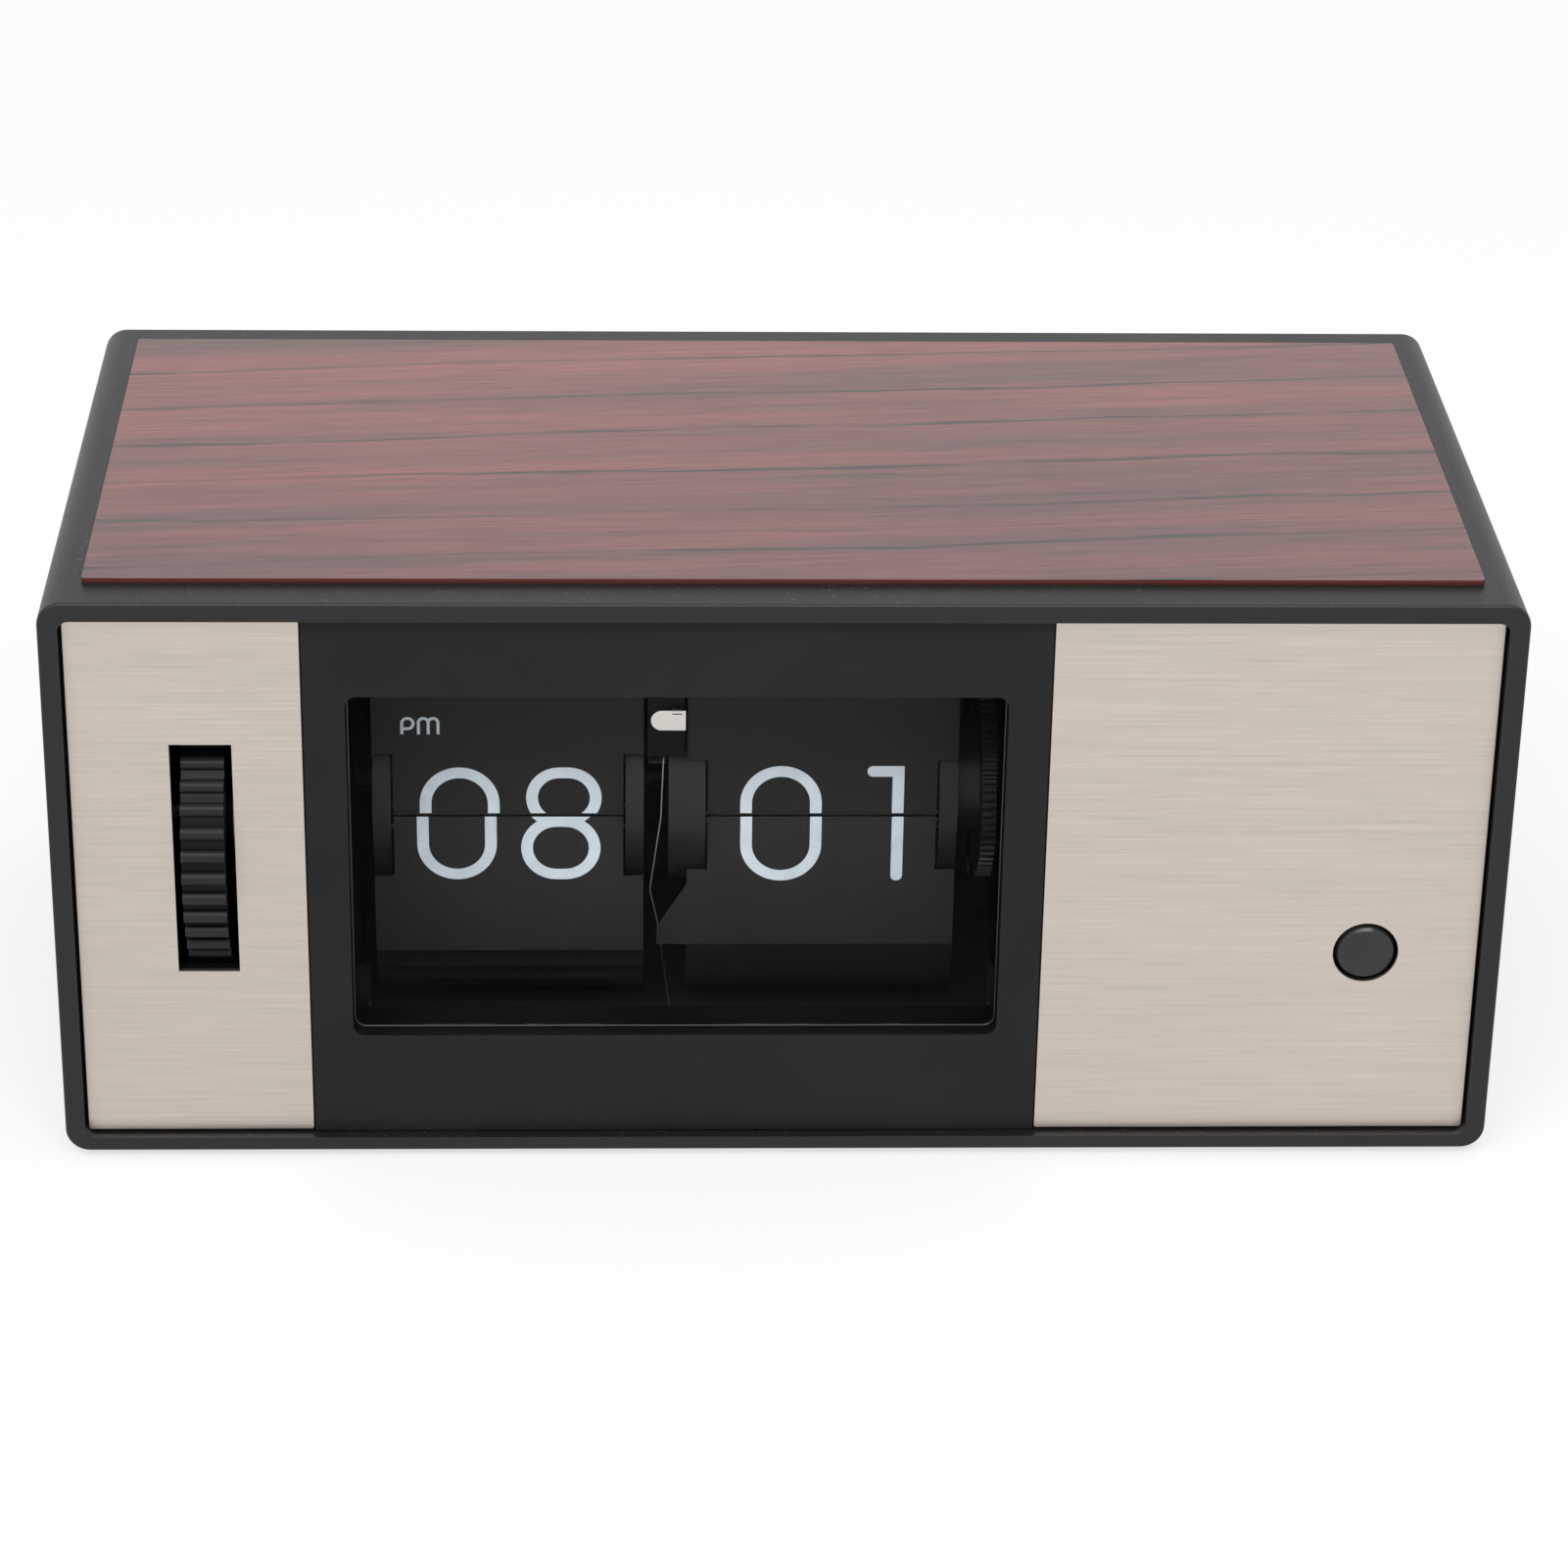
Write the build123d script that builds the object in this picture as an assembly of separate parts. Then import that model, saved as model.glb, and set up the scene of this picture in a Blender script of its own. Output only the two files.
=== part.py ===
from build123d import *

import math
import os

# Desk flip clock. Millimetres, X to the right, Y to the back, Z up, origin on the table under the middle.

# Case
case_width = 180.0
case_depth = 90.0
case_height = 76.0
case_corner = 3.0
case_side_wall = 2.4
case_roof = 2.4
case_floor = 1.9
rim_round = 0.4
panel_gap = 0.2
ledge_width = 1.6
ledge_length = 3.0
foot_height = 1.0
foot_radius = 5.0
foot_seat = 0.6
foot_inset = 14.0
top_panel_width = 170.0
top_panel_depth = 78.5
top_panel_thickness = 0.8
top_panel_corner = 0.5

# Fascia, trim plates and window
fascia_recess = 1.5
fascia_thickness = 2.2
trim_thickness = 0.6
trim_gap = 0.25
trim_corner = 0.3
left_trim_width = 28.3
right_trim_width = 54.6
window_head = 10.65
window_side = 5.3
window_sill = 13.95
window_corner = 1.5
window_depth = 3.5
bezel_depth = 10.1
bezel_wall = 3.0
lens_thickness = 1.0
lens_margin = 1.4
slot_width = 7.6
slot_height = 31.4
slot_inset = 18.8
slot_above_window = 1.4

# Push button and its contact
button_inset = 16.8
button_below_window = 11.8
button_radius = 3.8
button_gap = 0.32
button_proud = 0.3
button_round = 0.9
button_travel = 1.5
collar_radius = 4.9
collar_thickness = 1.0
collar_depth = 5.0
boss_wall = 1.5
stem_radius = 1.4
stem_reach = 1.6
switch_width = 18.0
switch_height = 8.6
switch_thickness = 3.0
switch_corner = 1.5
blade_width = 4.0
blade_thickness = 0.3
blade_corner = 0.8
blade_overhang = 0.8
blade_inset = 1.0
blade_gap = 0.3

# Setting wheel
wheel_radius = 19.3
wheel_width = 5.3
wheel_teeth = 40
wheel_tooth_depth = 0.9
wheel_crest_share = 0.62
wheel_proud = 2.0
wheel_above_window = 0.2
wheel_web = 2.2
wheel_rim = 3.4
wheel_hub_radius = 4.5
bracket_gap = 6.15
bracket_wall = 2.0
bracket_width = 13.0
bracket_foot = 6.0
bracket_gusset = 18.0

# Drum shafts and flanges
running_gap = 0.05
shaft_radius = 1.5
sleeve_wall = 0.6
drum_setback = 36.5
drum_below_window = 4.4
pivot_radius = 11.5
flange_radius = 13.4
flange_thickness = 2.3
flange_hub_radius = 4.0
flange_hub_length = 2.0
groove_inside = 0.7
groove_outside = 1.1
groove_depth = 1.2
trip_disc_thickness = 2.4
trip_notch = 2.4
drum_left_gap = 1.85
drum_gap = 5.6
drum_right_gap = 4.15

# Leaves
minute_leaf_count = 60
hour_leaf_count = 24
leaf_floor_gap = 1.8
leaf_thickness = 0.12
leaf_side_gap = 0.3
leaf_split = 0.4
leaf_notch_gap = 0.4
ear_length = 0.8
ear_height = 0.5
flip_forward = 0.38
lower_forward = 0.13
flip_lean = 1.5
stack_lean = 2.0
fan_start = 18.0
fan_end = 170.0
fan_bottom = 270.0
leaf_hang = 180.0
trip_ear_width = 3.9
trip_ear_gap = 2.1
trip_ear_foot = 2.6

# Gear trains
gear_width = 1.8
train_gap = 0.6
tooth_share = 0.42
addendum = 0.9
dedendum = 1.15
flank_root = 1.45
flank_tip = 0.45
drive_module = 0.36
drive_teeth = 72
motor_teeth = 12
drive_gap = 3.2
drive_hub_radius = 7.7
idler_distance = 14.0
minute_pinion_teeth = 10
idler_teeth = 40
idler_pinion_teeth = 10
hour_teeth = 60
setting_teeth = 30
setting_hub_radius = 3.0
idler_stud_radius = 1.2
stud_head_radius = 2.4
stud_head = 1.0

# Movement frame
side_plate_thickness = 2.0
side_plate_gap = 2.9
side_plate_setback = 14.0
side_plate_depth = 56.0
frame_headroom = 4.1
side_plate_corner = 6.0
base_thickness = 1.6
base_corner = 2.0
lug_height = 9.0
lug_thickness = 2.0
lug_width = 8.0
pillar_radius = 2.5
pillar_inset = 5.0
pillar_lift = 10.0
frame_screw_radius = 1.2
frame_screw_head = 2.3
motor_radius = 12.0
motor_length = 10.0
motor_shaft_radius = 0.8
motor_angle = -30.0
motor_flange = 1.2
motor_ear = 16.0
motor_ear_width = 6.6
motor_opening = 1.6
board_length = 22.0
board_height = 18.0
board_thickness = 1.6
board_standoff = 3.0
board_corner = 1.0
standoff_radius = 1.8
standoff_inset = 4.4
chip_length = 8.8
chip_height = 5.0
chip_thickness = 1.5
chip_lift = 3.0
crystal_length = 6.6
crystal_height = 2.4
crystal_thickness = 2.0
crystal_lift = 12.0
crystal_corner = 1.0

# Leaf catch and trip wire
catch_strip = 4.6
catch_sheet = 0.8
catch_setback = 11.7
catch_bracket_above = 8.9
catch_tab_above = 12.7
catch_tab_height = 2.75
catch_tab_length = 4.4
catch_tab_thickness = 0.4
catch_curl_radius = 0.45
catch_curl_length = 1.3
wire_radius = 0.14
wire_bend = 1.2
wire_forward = 1.6
wire_foot = 3.0
wire_foot_right = 0.6
wire_knee_low = 15.0
wire_knee_left = 0.9
wire_elbow_low = 10.0
wire_elbow_left = 2.0
wire_bow_high = 0.5
wire_bow_left = 0.6
wire_tip_left = 0.3
wire_tip_back = 0.6

# Rear cover and battery
rear_thickness = 2.4
rear_proud = 2.0
rear_field_inset = 3.0
rear_field_corner = 4.0
rear_screw_radius = 1.3
rear_screw_head = 2.6
rear_screw_reach = 9.0
rear_boss_radius = 3.2
rear_boss_length = 12.0
rear_boss_inset = 7.0
rear_boss_web = 2.0
cell_radius = 13.1
cell_length = 48.5
cell_round = 0.8
cell_nub_radius = 3.75
cell_nub = 1.5
cell_gap = 0.4
cell_inset = 28.0
cell_below_window = 1.4
tube_wall = 1.5
door_margin = 3.0
door_gap = 0.3
door_thickness = 2.0
door_lip = 1.5
door_grip_width = 14.0
door_grip_height = 5.0
door_grip_inset = 1.0
door_grip_corner = 2.0
contact_thickness = 0.4
contact_width = 9.0
contact_corner = 1.0

# Places worked out from the sizes above
front_y = -case_depth / 2
back_y = case_depth / 2
case_low = foot_height
case_high = foot_height + case_height
room_low = case_low + case_floor
room_high = case_high - case_roof
room_half = case_width / 2 - case_side_wall
fascia_front = front_y + fascia_recess
fascia_back = fascia_front + fascia_thickness
lens_front = fascia_front + window_depth
lens_back = lens_front + lens_thickness
trim_edge = room_half - panel_gap - trim_gap
window_left = -trim_edge + left_trim_width + window_side
window_right = trim_edge - right_trim_width - window_side
window_width = window_right - window_left
window_x = (window_left + window_right) / 2
window_low = room_low + window_sill
window_high = room_high - window_head
window_height = window_high - window_low
window_z = (window_low + window_high) / 2
slot_x = -case_width / 2 + slot_inset
slot_z = window_z + slot_above_window
button_x = case_width / 2 - button_inset
button_z = window_z - button_below_window
button_hole_radius = button_radius + button_gap
wheel_x = slot_x
wheel_y = front_y - wheel_proud + wheel_radius
wheel_z = window_z + wheel_above_window
bracket_x = wheel_x - wheel_width / 2 - bracket_gap
drum_width = (window_width - drum_left_gap - drum_gap - drum_right_gap) / 2
hour_left = window_left + drum_left_gap
minute_left = hour_left + drum_width + drum_gap
drum_y = front_y + drum_setback
drum_z = window_z - drum_below_window
flip_y = drum_y - pivot_radius - flip_forward
lower_y = drum_y - pivot_radius - lower_forward
sleeve_bore = shaft_radius + running_gap
sleeve_radius = sleeve_bore + sleeve_wall
drive_x = minute_left + drum_width + drive_gap
motor_distance = drive_module * (drive_teeth + motor_teeth) / 2
motor_y = drum_y + motor_distance * math.cos(math.radians(motor_angle))
motor_z = drum_z + motor_distance * math.sin(math.radians(motor_angle))
left_plate_x = hour_left - side_plate_gap - side_plate_thickness
right_plate_x = drive_x + gear_width + train_gap + frame_screw_radius
hour_gear_x = left_plate_x - train_gap - gear_width
minute_pinion_x = hour_gear_x - train_gap - gear_width
setting_x = minute_pinion_x - train_gap - gear_width
setting_distance = math.hypot(wheel_y - drum_y, wheel_z - drum_z)
setting_angle = math.degrees(math.atan2(wheel_z - drum_z, wheel_y - drum_y))
setting_module = setting_distance / setting_teeth
minute_train_module = 2 * idler_distance / (minute_pinion_teeth + idler_teeth)
hour_train_module = 2 * idler_distance / (idler_pinion_teeth + hour_teeth)
idler_y = drum_y + idler_distance
base_low = room_low
base_high = base_low + base_thickness
leaf_length = drum_z - pivot_radius - base_high - leaf_floor_gap
plate_low = base_high
plate_high = room_high - frame_headroom
side_plate_front = front_y + side_plate_setback
side_plate_back = side_plate_front + side_plate_depth
bar_y = side_plate_front + pillar_inset
bar_z = plate_high - pillar_inset
cell_x = case_width / 2 - cell_inset
cell_z = window_z - cell_below_window
tube_bore = cell_radius + cell_gap
rear_inside = back_y - rear_thickness
rear_outside = back_y + rear_proud
door_radius = tube_bore + door_margin
trip_disc_x = minute_left - trip_disc_thickness


def along_x(profile, x0, x1):
    """Extrude a (y, z) profile from x0 to x1."""
    plane = Plane(origin=(x0, 0, 0), x_dir=(0, 1, 0), z_dir=(1, 0, 0))
    return extrude(plane * profile, amount=x1 - x0)


def along_y(profile, y0, y1):
    """Extrude an (x, z) profile from y0 to y1."""
    plane = Plane(origin=(0, y0, 0), x_dir=(1, 0, 0), z_dir=(0, -1, 0))
    return extrude(plane * profile, amount=y1 - y0, dir=(0, 1, 0))


def along_z(profile, z0, z1):
    """Extrude an (x, y) profile from z0 to z1."""
    return extrude(Plane.XY.offset(z0) * profile, amount=z1 - z0)


def rect(u0, u1, v0, v1, corner=0.0):
    """Rectangle between two corners of a profile, with round corners if asked."""
    shape = Rectangle(u1 - u0, v1 - v0)
    if corner > 0:
        shape = RectangleRounded(u1 - u0, v1 - v0, corner)
    return Pos((u0 + u1) / 2, (v0 + v1) / 2) * shape


def disc(u, v, radius):
    """Circle at a place of a profile."""
    return Pos(u, v) * Circle(radius)


def window_profile(margin):
    """Window outline, grown on every side by a margin."""
    outline = RectangleRounded(
        window_width + 2 * margin,
        window_height + 2 * margin,
        window_corner + margin / 2,
    )
    return Pos(window_x, window_z) * outline


def room_profile(inset):
    """Inside of the case seen from the front, drawn in by an inset."""
    return rect(
        -room_half + inset,
        room_half - inset,
        room_low + inset,
        room_high - inset,
        case_corner / 2,
    )


def rear_boss_places():
    """Centres of the four screw bosses behind the rear cover, as (x, z)."""
    across = room_half - rear_boss_inset
    low = room_low + rear_boss_inset
    high = room_high - rear_boss_inset
    return [(-across, low), (across, low), (-across, high), (across, high)]


def foot_places():
    """Centres of the four feet, as (x, y)."""
    across = case_width / 2 - foot_inset
    deep = case_depth / 2 - foot_inset
    return [(sx * across, sy * deep) for sx in (-1, 1) for sy in (-1, 1)]


def make_case_shell():
    """Open sleeve with a ledge at each end, four screw bosses and seats for the feet."""
    outline = rect(-case_width / 2, case_width / 2, case_low, case_high, case_corner)
    shell = along_y(outline, front_y, back_y)
    rim = shell.edges().filter_by(Axis.Y, reverse=True)
    shell = fillet(rim, rim_round)
    shell -= along_y(room_profile(0), front_y, back_y)
    ring = room_profile(0) - room_profile(ledge_width)
    shell += along_y(ring, fascia_back, fascia_back + ledge_length)
    shell += along_y(ring, rear_inside - ledge_length, rear_inside)
    for x, z in rear_boss_places():
        toward = math.copysign(1, x)
        wall = toward * room_half
        web = rect(min(x, wall), max(x, wall), z - rear_boss_web / 2, z + rear_boss_web / 2)
        boss = disc(x, z, rear_boss_radius) + web
        shell += along_y(boss, rear_inside - rear_boss_length, rear_inside)
        shell -= along_y(disc(x, z, rear_screw_radius), rear_inside - rear_boss_length, rear_inside)
    for x, y in foot_places():
        shell -= along_z(disc(x, y, foot_radius), case_low, case_low + foot_seat)
    return shell


def make_rubber_feet():
    """Four round pads with a softened lower edge, set into the case floor."""
    feet = []
    for x, y in foot_places():
        pad = along_z(disc(x, y, foot_radius), 0, case_low + foot_seat)
        low_edge = pad.edges().sort_by(Axis.Z)[0]
        feet.append(chamfer(low_edge, foot_height / 4))
    return feet


def make_top_panel():
    """Thin wood-grain sheet laid on the roof of the case."""
    outline = RectangleRounded(top_panel_width, top_panel_depth, top_panel_corner)
    return along_z(outline, case_high, case_high + top_panel_thickness)


def trim_outline(side):
    """Outline of a trim plate, with a negative side for the left one."""
    width = left_trim_width if side < 0 else right_trim_width
    x0 = -trim_edge if side < 0 else trim_edge - width
    low = room_low + panel_gap + trim_gap
    high = room_high - panel_gap - trim_gap
    return rect(x0, x0 + width, low, high, trim_corner)


def slot_profile():
    """Slot that the setting wheel comes through."""
    return Pos(slot_x, slot_z) * Rectangle(slot_width, slot_height)


def make_fascia():
    """Front panel with pockets for the trim, a deep window frame, the wheel slot and the button guide."""
    panel = along_y(room_profile(panel_gap), fascia_front, fascia_back)
    panel += along_y(window_profile(bezel_wall), fascia_front, fascia_front + bezel_depth)
    panel -= along_y(window_profile(0), fascia_front, lens_front)
    panel -= along_y(window_profile(lens_margin), lens_front, fascia_front + bezel_depth)
    edge = room_half - panel_gap
    low = room_low + panel_gap
    high = room_high - panel_gap
    left = rect(-edge, -edge + left_trim_width + 2 * trim_gap, low, high)
    right = rect(edge - right_trim_width - 2 * trim_gap, edge, low, high)
    panel -= along_y(left + right, fascia_front, fascia_front + trim_thickness)
    panel -= along_y(slot_profile(), fascia_front, fascia_back)
    collar_bore = collar_radius + button_gap
    boss_back = fascia_front + collar_depth + collar_thickness + button_travel + button_gap
    boss = disc(button_x, button_z, collar_bore + boss_wall)
    panel += along_y(boss, fascia_front + trim_thickness, boss_back)
    panel -= along_y(disc(button_x, button_z, button_hole_radius), fascia_front, boss_back)
    step = fascia_front + collar_depth - button_gap
    panel -= along_y(disc(button_x, button_z, collar_bore), step, boss_back)
    return panel


def make_left_trim_plate():
    """Brushed plate round the setting wheel."""
    outline = trim_outline(-1) - slot_profile()
    return along_y(outline, fascia_front, fascia_front + trim_thickness)


def make_right_trim_plate():
    """Brushed plate round the push button."""
    outline = trim_outline(1) - disc(button_x, button_z, button_hole_radius)
    return along_y(outline, fascia_front, fascia_front + trim_thickness)


def make_window_lens():
    """Clear sheet seated on the step behind the window."""
    return along_y(window_profile(lens_margin - panel_gap), lens_front, lens_back)


def make_button():
    """Round cap with a retaining collar and a thin stem behind it."""
    front = fascia_front - button_proud
    collar_front = fascia_front + collar_depth
    collar_back = collar_front + collar_thickness
    cap = along_y(disc(button_x, button_z, button_radius), front, collar_front)
    face = cap.edges().sort_by(Axis.Y)[0]
    cap = fillet(face, button_round)
    cap += along_y(disc(button_x, button_z, collar_radius), collar_front, collar_back)
    stem_back = switch_front() + switch_thickness + stem_reach
    cap += along_y(disc(button_x, button_z, stem_radius), collar_back, stem_back)
    return cap


def switch_front():
    """Front face of the contact block, which closes the button guide."""
    return fascia_front + collar_depth + collar_thickness + button_travel + button_gap


def make_switch_block():
    """Moulded block that closes the guide, carries the stem and holds the contact blade."""
    half = switch_width / 2
    low = button_z - switch_height / 2
    body = rect(button_x - half, button_x + half, low, low + switch_height, switch_corner)
    body -= disc(button_x, button_z, stem_radius + running_gap)
    back = switch_front() + switch_thickness
    block = along_y(body, switch_front(), back)
    end = button_x + half - blade_inset
    foot = rect(end - blade_width, end, button_z - blade_width / 2, button_z + blade_width / 2)
    return block + along_y(foot, back, back + stem_reach + blade_gap)


def make_switch_blade():
    """Springy strip that the stem presses, held at its right end on the block."""
    back = switch_front() + switch_thickness + stem_reach + blade_gap
    tip = button_x - stem_radius - blade_overhang
    end = button_x + switch_width / 2 - blade_inset
    outline = rect(tip, end, button_z - blade_width / 2, button_z + blade_width / 2, blade_corner)
    return along_y(outline, back, back + blade_thickness)


def gear_profile(module, teeth, y, z, tooth_at, tooth):
    """Gear outline with three-point flanks and a tooth, or else a gap, at the given angle."""
    pitch = module * teeth / 2
    outer = pitch + addendum * module
    root = pitch - dedendum * module
    step = 2 * math.pi / teeth
    half = step * tooth_share / 2
    first = math.radians(tooth_at) + (0 if tooth else step / 2)
    points = []
    for k in range(teeth):
        middle = first + k * step
        flank = ((root, flank_root * half), (pitch, half), (outer, flank_tip * half))
        points += [(radius, middle - lag) for radius, lag in flank]
        points += [(radius, middle + lag) for radius, lag in reversed(flank)]
    places = [(y + r * math.cos(a), z + r * math.sin(a)) for r, a in points]
    return make_face(Polyline(*places, close=True))


def make_thumbwheel():
    """Serrated wheel with round crests, a thin web and a hub."""
    root = wheel_radius - wheel_tooth_depth
    crest = math.pi * root / wheel_teeth * wheel_crest_share
    rim = Circle(root)
    for k in range(wheel_teeth):
        angle = 2 * math.pi * k / wheel_teeth
        reach = wheel_radius - crest
        rim += Pos(reach * math.cos(angle), reach * math.sin(angle)) * Circle(crest)
    x0 = wheel_x - wheel_width / 2
    x1 = wheel_x + wheel_width / 2
    place = Pos(wheel_y, wheel_z)
    wheel = along_x(place * (rim - Circle(root - wheel_rim)), x0, x1)
    web = Circle(root - wheel_rim)
    wheel += along_x(place * web, wheel_x - wheel_web / 2, wheel_x + wheel_web / 2)
    wheel += along_x(place * Circle(wheel_hub_radius), x0, x1)
    return wheel - along_x(place * Circle(shaft_radius), x0, x1)


def make_thumbwheel_shaft():
    """Steel pin from the outer bracket to the left side plate."""
    end = left_plate_x + side_plate_thickness
    return along_x(disc(wheel_y, wheel_z, shaft_radius), bracket_x, end)


def make_thumbwheel_gear():
    """Gear on the setting wheel's pin, with a hub that reaches the wheel."""
    profile = gear_profile(setting_module, setting_teeth, wheel_y, wheel_z, setting_angle + 180, False)
    gear = along_x(profile, setting_x, setting_x + gear_width)
    hub_end = wheel_x + wheel_width / 2
    gear += along_x(disc(wheel_y, wheel_z, wheel_hub_radius), hub_end, setting_x)
    return gear - along_x(disc(wheel_y, wheel_z, shaft_radius), hub_end, setting_x + gear_width)


def make_thumbwheel_bracket():
    """Upright on the case floor that carries the outer end of the setting wheel's pin."""
    half = bracket_width / 2
    wall = rect(wheel_y - half, wheel_y + half, room_low, wheel_z) + disc(wheel_y, wheel_z, half)
    wall -= disc(wheel_y, wheel_z, shaft_radius + running_gap)
    bracket = along_x(wall, bracket_x, bracket_x + bracket_wall)
    foot = rect(bracket_x - bracket_foot, bracket_x, wheel_y - half, wheel_y + half)
    bracket += along_z(foot, room_low, room_low + bracket_wall)
    gusset = make_face(
        Polyline(
            (bracket_x, room_low + bracket_wall),
            (bracket_x - bracket_foot, room_low + bracket_wall),
            (bracket_x, room_low + bracket_wall + bracket_gusset),
            close=True,
        )
    )
    return bracket + along_y(gusset, wheel_y - bracket_wall / 2, wheel_y + bracket_wall / 2)


def make_main_shaft():
    """Steel shaft of the minute drum, right across the movement."""
    return along_x(disc(drum_y, drum_z, shaft_radius), setting_x, right_plate_x + side_plate_thickness)


def make_hour_sleeve():
    """Tube that carries the hour drum and turns on the main shaft."""
    ring = disc(drum_y, drum_z, sleeve_radius) - disc(drum_y, drum_z, sleeve_bore)
    return along_x(ring, hour_gear_x, hour_left + drum_width + train_gap)


def make_flange(x0, inner_side, bore):
    """Drum end disc with a hub and a ring groove for the leaf ears on its inner side (1 right, -1 left)."""
    x1 = x0 + flange_thickness
    flange = along_x(disc(drum_y, drum_z, flange_radius), x0, x1)
    groove = disc(drum_y, drum_z, pivot_radius + groove_outside)
    groove -= disc(drum_y, drum_z, pivot_radius - groove_inside)
    hub = disc(drum_y, drum_z, flange_hub_radius)
    if inner_side > 0:
        flange -= along_x(groove, x1 - groove_depth, x1)
        flange += along_x(hub, x1, x1 + flange_hub_length)
    else:
        flange -= along_x(groove, x0, x0 + groove_depth)
        flange += along_x(hub, x0 - flange_hub_length, x0)
    through = disc(drum_y, drum_z, bore)
    return flange - along_x(through, x0 - flange_hub_length, x1 + flange_hub_length)


def make_trip_disc():
    """Second disc beside the left minute flange, with the notch that lets the hour step."""
    profile = disc(drum_y, drum_z, flange_radius) - disc(drum_y, drum_z, shaft_radius)
    notch = Pos(drum_y + flange_radius, drum_z) * Rectangle(trip_notch, trip_notch)
    return along_x(profile - notch, trip_disc_x, minute_left)


def make_drive_gear():
    """Large fine-toothed wheel at the right end of the minute drum, with a stepped hub."""
    profile = gear_profile(drive_module, drive_teeth, drum_y, drum_z, motor_angle, True)
    gear = along_x(profile, drive_x, drive_x + gear_width)
    hub = disc(drum_y, drum_z, drive_hub_radius)
    gear += along_x(hub, minute_left + drum_width, drive_x)
    return gear - along_x(disc(drum_y, drum_z, shaft_radius), minute_left + drum_width, drive_x + gear_width)


def make_minute_pinion():
    """Pinion on the main shaft that drives the hour train."""
    profile = gear_profile(minute_train_module, minute_pinion_teeth, drum_y, drum_z, 0, True)
    pinion = along_x(profile, minute_pinion_x, minute_pinion_x + gear_width)
    return pinion - along_x(disc(drum_y, drum_z, shaft_radius), minute_pinion_x, minute_pinion_x + gear_width)


def make_setting_gear():
    """Gear on the main shaft that the setting wheel turns, with a hub up to the pinion."""
    profile = gear_profile(setting_module, setting_teeth, drum_y, drum_z, setting_angle, True)
    gear = along_x(profile, setting_x, setting_x + gear_width)
    gear += along_x(disc(drum_y, drum_z, setting_hub_radius), setting_x + gear_width, minute_pinion_x)
    return gear - along_x(disc(drum_y, drum_z, shaft_radius), setting_x, minute_pinion_x)


def make_hour_gear():
    """Gear on the hour sleeve, outside the left side plate."""
    profile = gear_profile(hour_train_module, hour_teeth, drum_y, drum_z, 0, True)
    gear = along_x(profile, hour_gear_x, hour_gear_x + gear_width)
    hub = disc(drum_y, drum_z, flange_hub_radius)
    gear += along_x(hub, hour_gear_x + gear_width, left_plate_x - running_gap)
    return gear - along_x(disc(drum_y, drum_z, sleeve_radius), hour_gear_x, left_plate_x)


def make_idler_cluster():
    """Moulded wheel and pinion that gear the minute shaft down to the hour sleeve."""
    wheel = gear_profile(minute_train_module, idler_teeth, idler_y, drum_z, 180, False)
    pinion = gear_profile(hour_train_module, idler_pinion_teeth, idler_y, drum_z, 180, False)
    cluster = along_x(wheel, minute_pinion_x, minute_pinion_x + gear_width)
    cluster += along_x(pinion, minute_pinion_x + gear_width, left_plate_x - train_gap / 2)
    bore = disc(idler_y, drum_z, idler_stud_radius + running_gap)
    return cluster - along_x(bore, minute_pinion_x, left_plate_x)


def make_idler_stud():
    """Fixed pin on the left side plate with a head that keeps the idler on."""
    head_x = minute_pinion_x - running_gap
    stud = along_x(disc(idler_y, drum_z, idler_stud_radius), head_x, left_plate_x + side_plate_thickness)
    return stud + along_x(disc(idler_y, drum_z, stud_head_radius), head_x - stud_head, head_x)


def make_motor():
    """Round motor can with two fixing ears, on the outside of the right side plate."""
    x0 = right_plate_x + side_plate_thickness
    bore = disc(motor_y, motor_z, motor_shaft_radius + running_gap)
    can = along_x(disc(motor_y, motor_z, motor_radius) - bore, x0, x0 + motor_length)
    ears = Pos(motor_y, motor_z) * SlotCenterToCenter(2 * motor_ear, motor_ear_width)
    for side in (-1, 1):
        ears -= disc(motor_y + side * motor_ear, motor_z, frame_screw_radius)
    return can + along_x(ears - bore, x0, x0 + motor_flange)


def make_motor_screws():
    """Two small screws through the motor's ears."""
    x0 = right_plate_x + side_plate_thickness + motor_flange
    screws = []
    for side in (-1, 1):
        y = motor_y + side * motor_ear
        head = along_x(disc(y, motor_z, frame_screw_head), x0, x0 + frame_screw_radius)
        pin = disc(y, motor_z, frame_screw_radius)
        screws.append(head + along_x(pin, right_plate_x, x0))
    return screws


def make_motor_shaft():
    """Thin steel shaft that comes out of the motor through the side plate."""
    end = right_plate_x + side_plate_thickness + motor_length
    return along_x(disc(motor_y, motor_z, motor_shaft_radius), drive_x, end)


def make_motor_pinion():
    """Small pinion that turns the large drive gear."""
    profile = gear_profile(drive_module, motor_teeth, motor_y, motor_z, motor_angle + 180, False)
    profile -= disc(motor_y, motor_z, motor_shaft_radius)
    return along_x(profile, drive_x, drive_x + gear_width)


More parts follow.
